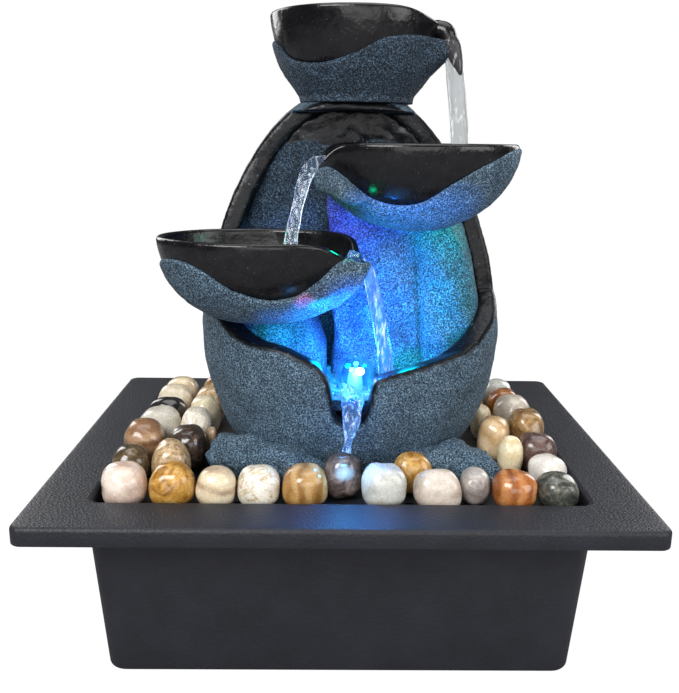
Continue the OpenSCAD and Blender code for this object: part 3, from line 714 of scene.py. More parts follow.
def capsule(x, y, z, a, b, ra, rb):
    """A rod from a to b with round ends of two sizes."""
    a, b = np.array(a, float), np.array(b, float)
    e = b - a
    t = np.clip(((x - a[0]) * e[0] + (y - a[1]) * e[1] + (z - a[2]) * e[2]) / (e @ e), 0, 1)
    return np.sqrt((x - a[0] - t * e[0]) ** 2 + (y - a[1] - t * e[1]) ** 2 + (z - a[2] - t * e[2]) ** 2) \
        - (ra + (rb - ra) * t)


def make_shell(mat):
    h = 0.92
    axes, (x, y, z) = grid((-57.5, -44.5, 60), (64.5, 46, 201.5), h)
    outer = true(egg(x, y, z, 0), h)
    void = true(egg(x, y, z, -SHELL_T), h)
    cut = opening(x, y, z)
    f = soft_max(outer, -void, 1.5)
    f = soft_max(f, -cut, 2.0)
    for b, side, down in ((UPPER, 0.8, CRADLE_T), (MIDDLE, -0.8, -0.8), (LOWER, -0.8, -0.8)):
        body, t = bowl(b, x, y, z, side, down)
        f = soft_max(f, -np.maximum(true(body, h), z - b[2]), 0.8)
    hole = np.hypot(x - TUBE_X, y - TUBE_Y) - TUBE_HOLE
    f = np.maximum(f, -hole)
    f = np.maximum(f, DECK_TOP + 0.05 - z)
    f = np.maximum(f, z - NECK)
    v, q = surface(axes, f)
    d = opening(*v.T)
    ragged = 0.35 * ROUGH.at(v, 3.0) + 0.25 * ROUGH.at(v + 50, 1.2)
    inner = egg(v[:, 0], v[:, 1], v[:, 2], -SHELL_T) < 1.2
    paint = np.clip((2.1 + ragged - np.abs(d)) / 0.7, 0, 1)
    hollow = inner & (np.abs(d) > 1.5)
    paint[hollow] = np.clip((v[hollow, 2] - 150) / 8, 0, 1)
    keep = np.clip((v[:, 2] - DECK_TOP) / 1.5, 0, 1) * np.clip((NECK - v[:, 2]) / 1.5, 0, 1)
    v = roughen(v, q, [(13, 0.35), (4.5, 0.22), (1.7, 0.12)], keep * (1 - 0.5 * paint))
    v[:, 2] = np.maximum(v[:, 2], DECK_TOP)
    finish_piece("casting_shell", v, q, mat, ["shell"], attr=paint)


def make_cradle(name, b, mat, nodes, h, extra=None, inset=-1.1):
    lo = (b[0][0] - b[1][0] - 10, b[0][1] - b[1][1] - 10, b[2] - b[3] - 3)
    hi = (b[0][0] + b[1][0] + 12, b[0][1] + b[1][1] + 10, b[2] + 1)
    if name == "cradle_upper":
        lo = (lo[0], lo[1], 199.6)
    axes, (x, y, z) = grid(lo, hi, h)
    outer, t = bowl(b, x, y, z, 1, CRADLE_T)
    inner, _ = bowl(b, x, y, z, inset, inset)
    top = z - np.minimum(edge_z(b, t), rim_z(b, t))
    f = true(outer, h)
    if extra is not None:
        f = extra(x, y, z, f)
    f = soft_max(f, top * 0.9, 1.4)
    f = soft_max(f, -true(inner, h), 0.5)
    if name == "cradle_upper":
        f = np.maximum(f, TUBE_HOLE - np.hypot(x - TUBE_X, y - TUBE_Y))
        f = np.maximum(f, 200.12 - z)
    else:
        f = np.maximum(f, y - 7.5)
    v, q = surface(axes, f)
    _, t = bowl(b, *v.T, 1, CRADLE_T)
    keep = 0.15 + 0.85 * np.clip((np.minimum(edge_z(b, t), rim_z(b, t)) - v[:, 2] - 0.6) / 2.5, 0, 1)
    if name == "cradle_upper":
        keep *= np.clip((v[:, 2] - 200.1) / 1.5, 0, 1)
    v = roughen(v, q, [(11, 0.35), (4, 0.22), (1.5, 0.12)], keep)
    return finish_piece(name, v, q, mat, nodes)


def make_liner(name, b, mat, nodes, n=144, hole=None):
    t = np.arange(n) * 360 / n
    rim = rim_z(b, t)
    rings = []
    low = b[2] - b[3] + CRADLE_T
    for j in range(1, 29):
        z = low + 0.02 + (rim - 1.3 - low) * (1 - np.cos(np.radians(90 * j / 28)))
        rings.append(bowl_point(b, t, z, 0, 0))
    inner = []
    low2 = low + LINER_T
    for j in range(1, 29):
        z = low2 + 0.02 + (rim - 1.3 - low2) * (1 - np.cos(np.radians(90 * j / 28)))
        inner.append(bowl_point(b, t, z, -LINER_T, -LINER_T))
    a, c = rings[-1], inner[-1]
    mid, half = (a + c) / 2, (a - c) / 2
    for ang in (22, 50, 78, 102, 130, 158):
        w = math.radians(ang)
        p = mid + half * math.cos(w)
        p[:, 2] = mid[:, 2] + 1.25 * math.sin(w)
        rings.append(p)
    rings += inner[::-1]
    rings = np.array(rings)
    swell = 0.22 * ROUGH.at(rings, 9.0) + 0.10 * ROUGH.at(rings + 31, 3.5)
    centre = np.array([b[0][0], b[0][1], b[2]])
    away = rings - centre
    away[..., 2] *= 0.3
    away /= np.maximum(np.linalg.norm(away, axis=-1, keepdims=True), 1e-6)
    fade = np.clip(np.linalg.norm(rings - centre, axis=-1) / 10, 0, 1)
    rings = rings + away * swell[..., None] * fade[..., None]
    rings[..., 2] = np.minimum(rings[..., 2], b[2])
    if hole is None:
        v, f = loft(rings)
    else:
        turn = np.radians(t)
        first = np.stack([TUBE_X + hole * np.cos(turn), TUBE_Y + hole * np.sin(turn), 0 * t], -1)
        a, c = first.copy(), first.copy()
        a[:, 2] = rings[2][:, 2].mean()
        c[:, 2] = rings[-3][:, 2].mean()
        v, f = loft(np.concatenate([[a], rings[3:-3], [c]]), closed=False)
    return finish_piece(name, v, f, mat, nodes)


def tube(path, outer, bore, n=36):
    """An open pipe along a bent path, rounded at its mouth. outer gives the radius at 0 to 1 along it."""
    ang = np.arange(n) * 2 * math.pi / n
    last = len(path) - 1
    flat = path[-1] - path[0]
    flat[2] = 0
    side = np.cross(flat / np.linalg.norm(flat), (0, 0, 1))

    def hoop(i, r, ahead=0.0):
        along = path[min(i + 1, last)] - path[max(i - 1, 0)]
        along /= np.linalg.norm(along)
        up = np.cross(side, along)
        return path[i] + along * ahead + np.outer(np.cos(ang), side) * r + np.outer(np.sin(ang), up) * r

    rings = [hoop(i, outer(i / last)) for i in range(last)]
    end = outer(1.0)
    mid, half = (end + bore) / 2, (end - bore) / 2
    rings += [hoop(last, mid + half * math.cos(math.radians(a)), -half + half * math.sin(math.radians(a)))
              for a in range(0, 181, 30)]
    rings += [hoop(i, bore) for i in range(last - 1, -1, -1)]
    return loft(rings, closed=False, flip=True)


def make_pool(name, b, level, mat, seed, n=96, hole=None):
    """Water standing in a bowl, with ripples on its face."""
    t = np.arange(n) * 360 / n
    look = Lattice(seed)
    low = b[2] - b[3] + CRADLE_T + LINER_T
    rings = []
    for j in range(1, 13):
        z = low - 0.1 + (level - low) * (1 - np.cos(np.radians(90 * j / 12))) + 0 * t
        rings.append(bowl_point(b, t, z, -LINER_T + 0.35, -LINER_T + 0.35))
    rim = rings[-1]
    middle = rim.mean(0)
    for r in (0.985, 0.95, 0.88, 0.8, 0.7, 0.6, 0.5, 0.4, 0.3, 0.2, 0.1):
        p = middle + (rim - middle) * r
        p[:, 2] = level + (0.30 * look.at(p, 5.0) + 0.16 * look.at(p + 9, 2.2)) * min(1, (1 - r) * 9)
        rings.append(p)
    v, f = loft(rings)
    return finish_piece(name, v, f, mat)


def make_stream(name, path, mat, seed, n=28, steps=14):
    """Falling water: an oval section swept along a path of [x, y, z, half width, half depth]."""
    p = smooth_line(path, steps)
    look = Lattice(seed)
    rings = []
    ang = np.arange(n) * 2 * math.pi / n
    for k, row in enumerate(p):
        along = p[min(k + 1, len(p) - 1)][:3] - p[max(k - 1, 0)][:3]
        along /= np.linalg.norm(along)
        side = np.cross(along, (0, 1, 0))
        side /= np.linalg.norm(side)
        deep = np.cross(side, along)
        base = row[:3] + np.outer(np.cos(ang), side) * row[3] + np.outer(np.sin(ang), deep) * row[4]
        place = base * np.array([1, 1, 0.22])
        wave = 1 + 0.09 * look.at(place, 2.2) + 0.05 * look.at(place + 40, 1.0)
        base = row[:3] + (base - row[:3]) * wave[:, None]
        rings.append(base)
    first, last = rings[0], rings[-1]
    a = first.mean(0) + (first - first.mean(0)) * 0.55
    c = last.mean(0) + (last - last.mean(0)) * 0.55
    d0 = (rings[0].mean(0) - rings[1].mean(0))
    d1 = (rings[-1].mean(0) - rings[-2].mean(0))
    rings = [a + d0 * 0.6] + rings + [c + d1 * 0.6]
    v, f = loft(rings, flip=True)
    return finish_piece(name, v, f, mat)


def make_blob(name, lo, hi, h, field, mat, nodes, rough, paint=None):
    """A rock or a body of water from a field, roughened by (size, amount) steps of noise."""
    axes, (x, y, z) = grid(lo, hi, h)
    v, q = surface(axes, field(x, y, z, h))
    if rough:
        v = roughen(v, q, rough)
    a = None if paint is None else paint(v)
    return finish_piece(name, v, q, mat, nodes, attr=a)


# ------------------------------------------------------------------ basin

def round_rect(w, d, r, z, n=9):
    pts = []
    r = max(r, 0.05)
    for cx, cy, a0 in ((1, 1, 0), (-1, 1, 90), (-1, -1, 180), (1, -1, 270)):
        for k in range(n):
            a = math.radians(a0 + 90 * k / (n - 1))
            pts.append((cx * (w / 2 - r) + r * math.cos(a), cy * (d / 2 - r) + r * math.sin(a), z))
        nxt = {0: (-1, 1), 90: (-1, -1), 180: (1, -1), 270: (1, 1)}[a0]
        last = pts[-1]
        b = math.radians(a0 + 90)
        end = (nxt[0] * (w / 2 - r) + r * math.cos(b), nxt[1] * (d / 2 - r) + r * math.sin(b), z)
        for k in range(1, 12):
            s = k / 12
            pts.append(tuple(last[i] + (end[i] - last[i]) * s for i in range(3)))
    return pts


def make_basin(mat):
    prof = []

    def ring(w, r, z):
        prof.append(round_rect(w, w - 40, r, z))

    foot, top = 1.8, 68.0
    quarter = [(math.cos(math.radians(a)), math.sin(math.radians(a))) for a in range(0, 91, 15)]
    for c, s in quarter:
        ring(166 - 4 * (1 - s), 7 - 2 * (1 - s), foot + 2 * (1 - c))
    for k in range(1, 9):
        s = k / 8
        ring(166 + 8 * s, 7, 3.8 + (64.9 - 3.8) * s)
    for w, r, z in (
            (174.6, 7.2, 65.3), (175.4, 7.4, 65.5), (204.0, 1.6, 65.5), (204.8, 1.5, 65.2),
            (205.0, 1.5, 64.8), (205.0, 1.5, 61.9), (205.5, 1.7, 61.55), (209.2, 3.6, 61.5),
            (209.8, 3.9, 61.75), (210.0, 4.0, 62.1), (210.0, 4.0, 66.3)):
        ring(w, r, z)
    for c, s in quarter[1:]:
        ring(210 - 3.2 * (1 - c), 4 - 1.0 * (1 - c), 66.4 + 1.6 * s)
    ring(200, 3, top)
    ring(172.4, 5.0, top)
    for c, s in quarter:
        ring(169 + 3.0 * (1 - s), 4.5 + 0.5 * (1 - s), top - 1.5 * (1 - c))
    for w, r, z in ((168.8, 4.5, 65), (161.4, 4.5, 6.0), (160.4, 4.2, 4.8), (158.6, 3.6, 4.3)):
        ring(w, r, z)
    body = loft(prof)
    parts = [body]
    for side in (-1, 1):
        for place in (-1, 1):
            for across, long, half in ((0, 52, 63), (1, 36, 83)):
                rows = []
                for z, k in ((4.0, 1), (59.6, 1), (60, 0.9)):
                    far = half - 1.2 + 4 * (z - 1.8) / 66
                    near_y, far_y = side * (half - 7.5), side * far
                    mid_y = (near_y + far_y) / 2
                    base = [(-2, near_y), (2, near_y), (2, far_y), (-2, far_y)]
                    base = [(place * long + k * a, mid_y + k * (c - mid_y)) for a, c in base]
                    if side < 0:
                        base = base[::-1]
                    if across:
                        base = [(c, a) for a, c in base[::-1]]
                    rows.append([(a, c, z) for a, c in base])
                parts.append(loft(rows))
    v, f = join(parts)
    o = finish_piece("basin_moulding", v, f, mat, ["basin"], body="basin")
    me = bpy.data.meshes.new("gland_cut")
    ang = np.arange(40) * 2 * math.pi / 40
    r = [np.stack([5 * np.cos(ang), yy + 0 * ang, 52 + 5 * np.sin(ang)], -1) for yy in (58.0, 76.0)]
    cv, cf = loft(r, flip=True)
    me.from_pydata((cv * MM).tolist(), [], cf)
    cut = bpy.data.objects.new("gland_cut", me)
    bpy.context.collection.objects.link(cut)
    mod = o.modifiers.new("cut", "BOOLEAN")
    mod.operation, mod.object, mod.solver = "DIFFERENCE", cut, "EXACT"
    dg = bpy.context.evaluated_depsgraph_get()
    made = bpy.data.meshes.new_from_object(o.evaluated_get(dg))
    o.modifiers.clear()
    if len(made.polygons) > 500:
        o.data = made
        made.polygons.foreach_set("use_smooth", [True] * len(made.polygons))
    bpy.data.objects.remove(cut)
    sharp_by_angle(o, 32)
    return o


def sharp_by_angle(o, degrees):
    me = o.data
    if hasattr(me, "set_sharp_from_angle"):
        me.set_sharp_from_angle(angle=math.radians(degrees))


# ------------------------------------------------------------------ pebbles

def cube_sphere(n):
    """Unit directions on a cube grid, with quads."""
    verts, faces, seen = [], [], {}
    for axis in range(3):
        for sign in (-1, 1):
            ids = {}
            for i in range(n + 1):
                for j in range(n + 1):
                    p = [0, 0, 0]
                    p[axis] = sign
                    p[(axis + 1) % 3] = math.tan(math.radians(-45 + 90 * i / n))
                    p[(axis + 2) % 3] = math.tan(math.radians(-45 + 90 * j / n))
                    key = tuple(round(c, 6) for c in p)
                    if key not in seen:
                        seen[key] = len(verts)
                        verts.append(p)
                    ids[i, j] = seen[key]
            for i in range(n):
                for j in range(n):
                    q = [ids[i, j], ids[i + 1, j], ids[i + 1, j + 1], ids[i, j + 1]]
                    faces.append(q if sign > 0 else q[::-1])
    v = np.array(verts, float)
    return v / np.linalg.norm(v, axis=1)[:, None], faces


BALL = cube_sphere(18)


def stone(lo, hi, seed, power=2.45, turn=0.0):
    """A worn river stone that fills a box."""
    d, faces = BALL
    look = Lattice(100 + seed, 8)
    r = 1 / (np.abs(d) ** power).sum(1) ** (1 / power)
    p = d * r[:, None]
    p = p * (1 + 0.085 * look.at(d + seed, 0.9) + 0.035 * look.at(d * 1.0 + 5, 0.45))[:, None]
    c, s = math.cos(turn), math.sin(turn)
    p = np.stack([p[:, 0] * c - p[:, 1] * s, p[:, 0] * s + p[:, 1] * c, p[:, 2]], -1)
    a, b = p.min(0), p.max(0)
    lo, hi = np.array(lo, float), np.array(hi, float)
    return lo + (p - a) / (b - a) * (hi - lo), faces


# ------------------------------------------------------------------ the object

def dress(mat, *nodes):
    """Gives CAD nodes that keep their own shape a finished material."""
    for n in nodes:
        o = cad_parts[n]
        if not o.material_slots:
            o.data.materials.append(mat)
        for s in o.material_slots:
            s.material = mat


def make_casting():
    dark, mid, light = srgb(14, 23, 34), srgb(64, 91, 112), srgb(150, 178, 196)
    slate = cast_material("cast_slate", dark, mid, light)
    # a darker copy of the slate casting: painted shade for the upper cradle and the grotto's rear wall
    deep = cast_material("cast_painted_shade", srgb(7, 12, 20), srgb(26, 42, 60), srgb(104, 134, 158))
    # the lamp-lit casting: its base colours are tinted blue and its spots paint the pool lamp's blue, cyan
    # and green light in as emission
    lit = cast_material("cast_lit", srgb(8, 14, 30), srgb(40, 66, 100), srgb(110, 150, 190), painted_light=[
        ((14, -14, 134), (36, 30, 44), (0.02, 0.11, 0.62)),
        ((0, -12, 154), (18, 20, 20), (0.03, 0.0, 0.42)),
        ((6, -14, 122), (11, 20, 13), (0.0, 0.0, 0.50)),
        ((10, -16, 109), (14, 16, 5), (0.0, 0.0, 0.80)),
        ((38, -12, 130), (18, 22, 40), (0.0, 0.24, 0.22)),
        ((36, -12, 153), (16, 18, 13), (0.0, 0.22, 0.16)),
        ((18, -12, 140), (10, 16, 12), (0.02, 0.16, 0.20)),
        ((24, -18, 103), (15, 18, 9), (0.0, 0.50, 0.42)),
        ((-22, -16, 114), (15, 22, 9), (0.0, 0.30, 0.46)),
        ((-12, -16, 108), (18, 22, 12), (0.0, 0.08, 0.50))])
    # painted lamp light: blue and cyan patches of emission where the lamp lights the middle cradle
    cradle_mid = cast_material("cast_cradle_middle", dark, mid, light, painted_light=[
        ((24, -44, 164), (30, 20, 13), (0.02, 0.16, 0.62)),
        ((14, -42, 166), (16, 18, 9), (0.0, 0.06, 0.40))])
    # painted lamp light and glints: pink, cyan and blue spots of emission on the lower cradle
    cradle_low = cast_material("cast_cradle_lower", dark, mid, light, painted_light=[
        ((-13, -50, 132), (5, 9, 5), (0.75, 0.03, 0.42)),
        ((-8, -46, 130), (6, 12, 6), (0.02, 0.55, 0.60)),
        ((0, -40, 134), (14, 14, 9), (0.0, 0.08, 0.60)),
        ((-22, -46, 126), (12, 12, 5), (0.02, 0.06, 0.24))])
    gloss = enamel_material("black_enamel")

    make_shell(slate)

    def foot(x, y, z, f):
        waist = np.interp(z, [199, 200.1, 202.5, 205, 209, 214], [21.6, 21.4, 20.3, 21.2, 23.5, 27])
        r = (np.hypot((x - 5) / waist, (y - 15) / (waist * 0.87)) - 1) * 20
        stem = soft_max(r, z - 211, 3)
        f = soft_min(f, stem, 5.0)
        lobe = capsule(x, y, z, (31, 7, 217.5), (37, 4, 219.5), 6.2, 4.6)
        return soft_min(f, lobe, 4.0)

    def lobe_mid(x, y, z, f):
        return soft_min(f, capsule(x, y, z, (-5.8, -25, 172.6), (3, -38, 169.0), 4.4, 4.0), 3.5)

    def lobe_low(x, y, z, f):
        return soft_min(f, capsule(x, y, z, (1, -34, 140.2), (-8, -44, 137.0), 4.6, 4.0), 3.5)

    make_cradle("cradle_upper", UPPER, deep, ["upper_cradle"], 0.62, foot)
    make_cradle("cradle_middle", MIDDLE, cradle_mid, ["middle_cradle"], 0.58, lobe_mid)
    make_cradle("cradle_lower", LOWER, cradle_low, ["lower_cradle"], 0.58, lobe_low)
    make_liner("bowl_upper", UPPER, gloss, ["upper_bowl"], hole=5.3)
    make_liner("bowl_middle", MIDDLE, gloss, ["middle_bowl"])
    make_liner("bowl_lower", LOWER, gloss, ["lower_bowl"])

    # A short elbow carries the pour out through the upper bowl's wall and turns it down.
    bend = smooth_line([(31.5, 6.1, 226.2), (35.2, 4.6, 226.3), (37.3, 3.7, 225.5), (38.3, 3.25, 223.2),
                        (38.6, 3.1, 219.9)], 5)
    v, f = tube(bend, lambda s: 3.3 + 0.2 * math.sin(math.pi * s) - 0.15 * s, 1.9)
    finish_piece("bowl_upper_spout", v, f, gloss)

    def hollow(x, y, z, h, room=0.6):
        """The space inside the shell."""
        return true(egg(x, y, z, room - SHELL_T), h)

    def below_bowl(x, y, z, h, f):
        """Cuts the lower bowl's space from a rock."""
        low, _ = bowl(LOWER, x, y, z, 0.5, CRADLE_T)
        return np.maximum(f, -np.maximum(true(low, h), z - 152.8))

    def wall(x, y, z, h):
        f = np.maximum(y - 12.6, 9 + 1.2 * np.sin(np.radians(9 * x)) - y)
        f = np.maximum(f, hollow(x, y, z, h))
        return np.maximum(f, np.maximum(POOL_Z + 0.3 - z, z - 197.6))

    def wall_paint(v):
        return np.clip((v[:, 2] - 184 + 2.0 * ROUGH.at(v, 6.0)) / 1.5, 0, 1)

    make_blob("grotto_rear_wall", (-54, 6, 93), (62, 14, 199), 0.8, wall, deep, ["grotto_wall"],
              rough=((9, 0.5), (3.5, 0.35), (1.5, 0.15)), paint=wall_paint)

    def rock(x, y, z, h):
        crease = 27.2 + (150 - z) * 0.085
        side = np.clip((x - crease) / 1.2, 0, 1)
        front = -12.5 - 2.5 * np.cos(np.radians((x - 12) * 9))
        rear = -11.5 - 4.0 * np.sin(np.radians(np.clip((x - crease) * 7, 0, 150)))
        front = front * (1 - side) + rear * side
        front = front + 2.2 * np.exp(-((x - crease - 0.6) / 1.1) ** 2) * np.clip((158 - z) / 10, 0, 1)
        front = front + 3.2 * np.exp(-((x - 3.5) / 4.5) ** 2 - ((z - 122) / 9) ** 2)
        front = front + 0.9 * np.sin(z * 0.21 + x * 0.35) + 0.7 * np.sin(z * 0.5 - x * 0.22)
        f = (front - y) * 0.8
        f = soft_max(f, hollow(x, y, z, h), 2.0)
        left = -5.2 + 0.9 * np.sin(z * 0.18) + np.clip((152 - z) / 12, 0, 1) * 2
        f = soft_max(f, left - x, 2.0)
        f = np.maximum(f, np.maximum(y - 7.4, np.maximum(94.2 - z, z - 168.5)))
        return below_bowl(x, y, z, h, f)

    make_blob("cascade_face", (-8, -19, 93), (54, 9, 170), 0.62, rock, lit, ["cascade_rock"],
              rough=((8, 0.55), (3, 0.3), (1.3, 0.12)))

    def bank(x, y, z, h):
        s1 = np.clip(-x / 14, 0, 1)
        s2 = np.clip((y + 34) / 32, 0, 1)
        top = 96.5 + 24.5 * (s1 * s1 * (3 - 2 * s1)) ** 0.7 * (s2 * s2 * (3 - 2 * s2)) ** 0.8
        top = top + 1.2 * np.sin(x * 0.4) * np.sin(y * 0.3)
        f = (z - top) * 0.75
        f = soft_max(f, hollow(x, y, z, h), 1.5)
        f = np.maximum(f, np.maximum(94.2 - z, np.maximum(y - 7.4, x + 5.8)))
        return below_bowl(x, y, z, h, f)

    make_blob("pool_bank_rock", (-52, -38, 93), (-4, 9, 124), 0.62, bank, lit, ["pool_bank"],
              rough=((8, 0.5), (3, 0.3), (1.3, 0.12)))
    dress(lit, "pool_floor")

    def root_field(blobs):
        def field(x, y, z, h):
            f = None
            for (ax, ay, ar, ah), (bx, by, br, bh) in blobs:
                ex, ey = bx - ax, by - ay
                t = np.clip(((x - ax) * ex + (y - ay) * ey) / (ex * ex + ey * ey), 0, 1)
                r, hh = ar + (br - ar) * t, (ah + (bh - ah) * t) / 2
                d = np.sqrt(((x - ax - t * ex) ** 2 + (y - ay - t * ey) ** 2) / r ** 2
                            + (z - DECK_TOP - hh) ** 2 / hh ** 2)
                one = (d - 0.9) * 7
                f = one if f is None else soft_min(f, one, 2.5)
            return np.maximum(f, DECK_TOP + 0.1 - z)
        return field

    inward = ((9, 0.6), (4.5, 1.5), (2.2, 0.7), (1.1, 0.25))
    make_blob("root_left", (-54, -48, 61.5), (0, -16, 84), 0.6, root_field([
        [(-43, -27, 7.8, 16.6), (-34, -31, 7.8, 17.6)], [(-34, -31, 8.8, 16.6), (-18, -37, 7.8, 14.6)],
        [(-18, -37, 7.8, 13.6), (-9, -38, 5.8, 11.6)]]), slate, ["left_root"], rough=inward)
    make_blob("root_right", (24, -48, 61.5), (63, -18, 82), 0.6, root_field([
        [(34, -31, 7.8, 14.6), (45, -28, 7.8, 14.6)], [(45, -28, 7.8, 14.6), (53, -37, 6.8, 11.6)]]),
        slate, ["right_root"], rough=inward)


def make_lamp():
    lens = clear_material("lens_blue", (0.55, 0.80, 1.0), 0.06, 1.48)
    b = lens.node_tree.nodes["Principled BSDF"]
    v = coords(lens.node_tree)
    ring = ramp(lens.node_tree, noise(lens.node_tree, v, 260, 2),
                [(0.35, (0.0, 0.10, 0.65)), (0.65, (0.05, 0.45, 1.0))])
    lens.node_tree.links.new(ring, b.inputs["Emission Color"])
    b.inputs["Emission Strength"].default_value = 0.16
    t = np.arange(64) * 2 * math.pi / 64

    def hoop(r, z):
        return np.stack([LAMP_X + r * np.cos(t), LAMP_Y + r * np.sin(t), LENS_Z + z + 0 * t], -1)

    straight, bore = 5.5, 5.2

    def arc(r, rise, angles):
        turns = [math.radians(a) for a in angles]
        return [(r * math.cos(a), straight + rise * math.sin(a)) for a in turns]

    prof = [(5.3, 0), (7.0, 0), (LAMP_R, 0.3)] + [(LAMP_R, k) for k in (2, 4, straight)]
    prof += arc(LAMP_R, LAMP_R, range(8, 90, 8)) + [(0.25, straight + LAMP_R)]
    prof += arc(bore, 5.4, range(86, 0, -8)) + [(bore, k) for k in (4, 2, 0.3)]
    rings = [hoop(r, z) for r, z in prof]
    v, f = loft(rings, closed=False, flip=False)
    finish_piece("lamp_dome", v, f, lens, ["lamp_lens"])

    core = emitter("led_core", (0.03, 0.42, 1.0), 1.5)
    prof = [(0.3, 0.2), (2.6, 0.2), (3.0, 0.9), (2.9, 3.0), (2.6, 5.0), (2.0, 6.6), (1.1, 7.6), (0.3, 8.0)]
    v, f = loft([hoop(r, z) for r, z in prof])
    finish_piece("lamp_led", v, f, core)
    hot = emitter("led_hot", (0.92, 0.98, 1.0), 22.0)
    d, faces = BALL
    look = Lattice(5, 8)
    p = np.array([6.6, -29.4, 104.0]) + d * np.array([1.5, 0.7, 1.3]) * (1 + 0.1 * look.at(d, 0.6))[:, None]
    finish_piece("lamp_led_chip", p, faces, hot)
    dress(plastic_material("lamp_white", srgb(206, 214, 222), 0.35), "lamp_housing")


def emitter(name, colour, power):
    m, nt, b = material(name)
    v = coords(nt)
    vary(nt, v, b, "Emission Color", 300, 2, [0.85 * c for c in colour], colour)
    vary(nt, v, b, "Base Color", 300, 2, 0.6, 0.8)
    b.inputs["Emission Strength"].default_value = power
    return m


def make_glow():
    """Coloured light that the lamp throws on the casting."""
    add_light("led_up", "POINT", (0.006, -0.031, 0.1165), 0.16, (0.02, 0.22, 1.0), 0.004, rides=BODY)
    add_light("led_left", "POINT", (-0.004, -0.030, 0.113), 0.035, (0.0, 0.45, 1.0), 0.004, rides=BODY)
    add_light("led_right", "POINT", (0.022, -0.028, 0.117), 0.03, (0.0, 0.55, 0.9), 0.004, rides=BODY)
    add_light("led_tip", "POINT", (-0.001, -0.041, 0.1515), 0.004, (0.0, 1.0, 0.45), 0.002, rides=BODY)
    add_light("led_splash", "POINT", (0.0005, -0.060, 0.082), 0.007, (0.10, 0.45, 1.0), 0.002, rides=BODY)


def make_water():
    clear = water_material("water_still", 0.0, (0.80, 0.88, 0.93), stretch=(1, 1, 1))
    make_pool("water_upper", UPPER, 226.5, clear, 21)
    make_pool("water_middle", MIDDLE, 180.5, clear, 22)
    make_pool("water_lower", LOWER, 146.9, clear, 23)
    pale = water_material("water_pour_pale", 0.15, (0.60, 0.62, 0.63), body=0.55)
    # painted shade: the head of the pour is near-black, standing for the dark pipe that it refracts
    shade = water_material("water_pour_shade", 0.0, (0.05, 0.045, 0.05), body=0.7)
    make_stream("water_pour_upper", [
        (40.2, 2.6, 217.5, 2.7, 1.9), (41.0, 2.2, 212, 3.1, 2.0), (42.0, 1.4, 204, 3.3, 2.0),
        (43.0, 0.2, 195, 3.3, 2.0), (43.5, -1.0, 187, 3.3, 2.0), (43.7, -1.8, 180.2, 3.7, 2.4)], pale, 31)
    make_stream("water_pour_upper_head", [
        (37.2, 2.6, 223.6, 2.2, 1.8), (38.6, 1.6, 222.2, 3.0, 2.0), (40.4, 1.2, 218.5, 2.9, 1.8),
        (42.0, 1.0, 213.6, 1.9, 1.4), (42.8, 0.9, 210.2, 0.9, 0.8)], shade, 35)
    # painted lamp light: the middle pour glows faintly blue by emission
    mid = water_material("water_pour_middle", 0.28, (0.74, 0.84, 0.96), painted_light=(0.20, 0.30, 0.50), strength=0.2)
    make_stream("water_pour_middle", [
        (-6.5, -22.5, 178.6, 2.4, 1.2), (-10.0, -24.5, 178.0, 2.8, 1.4), (-12.8, -27, 175, 2.5, 1.4),
        (-14.8, -29, 169.5, 2.2, 1.3), (-16.2, -31, 163.5, 2.0, 1.2), (-17.4, -33, 157.5, 2.1, 1.3),
        (-18.4, -35, 151.5, 2.4, 1.5), (-18.9, -36, 146.6, 3.0, 2.0)], mid, 32)
    # painted lamp light: the lower pour and the chute glow blue by emission
    low = water_material("water_pour_lower", 0.3, (0.50, 0.72, 1.0), painted_light=(0.08, 0.30, 0.90), strength=0.45)
    make_stream("water_pour_lower", [
        (1.5, -31, 146.6, 2.2, 1.1), (5.4, -32, 145.2, 2.6, 1.3), (8.4, -33, 141.5, 2.5, 1.4),
        (10.2, -33.6, 136, 2.4, 1.3), (11.8, -34, 129, 2.4, 1.3), (13.6, -34, 121, 2.4, 1.3),
        (15.2, -34, 112, 2.5, 1.4),
        (16.0, -33.6, 104, 2.8, 1.8), (16.2, -33.4, 99.6, 3.4, 2.2)], low, 33)
    # painted lamp light: the pool's emission paints the lamp's blue light into the water
    pool_blue = water_material("water_pool_painted_light", 0.35, (0.35, 0.75, 1.0), (0.02, 0.40, 0.95), 0.8, (1, 1, 1))

    def pool(x, y, z, h):
        level = 97.4 + 0.25 * ROUGH.at(np.stack([x, y, z], -1), 5.0)
        f = np.maximum(z - level, 94.5 - z)
        f = np.maximum(f, true(egg(x, y, z, -SHELL_T + 0.4), h))
        return np.maximum(f, LAMP_R + 0.6 - np.hypot(x - LAMP_X, y - LAMP_Y))

    make_blob("water_pool", (-24, -36.5, 93.6), (34, 2, 99.4), 0.6, pool, pool_blue, (), ())
    make_stream("water_chute", [
        (4.4, -33, 97.8, 5.0, 1.4), (4.0, -38, 97.0, 4.3, 1.6), (3.6, -42.6, 94.4, 3.6, 1.8),
        (3.2, -45.4, 90.4, 3.2, 1.7), (2.8, -46.8, 86.6, 2.2, 1.5), (2.2, -48.4, 83.2, 1.3, 1.1),
        (1.6, -49.4, 80.2, 1.8, 1.5)], low, 34)


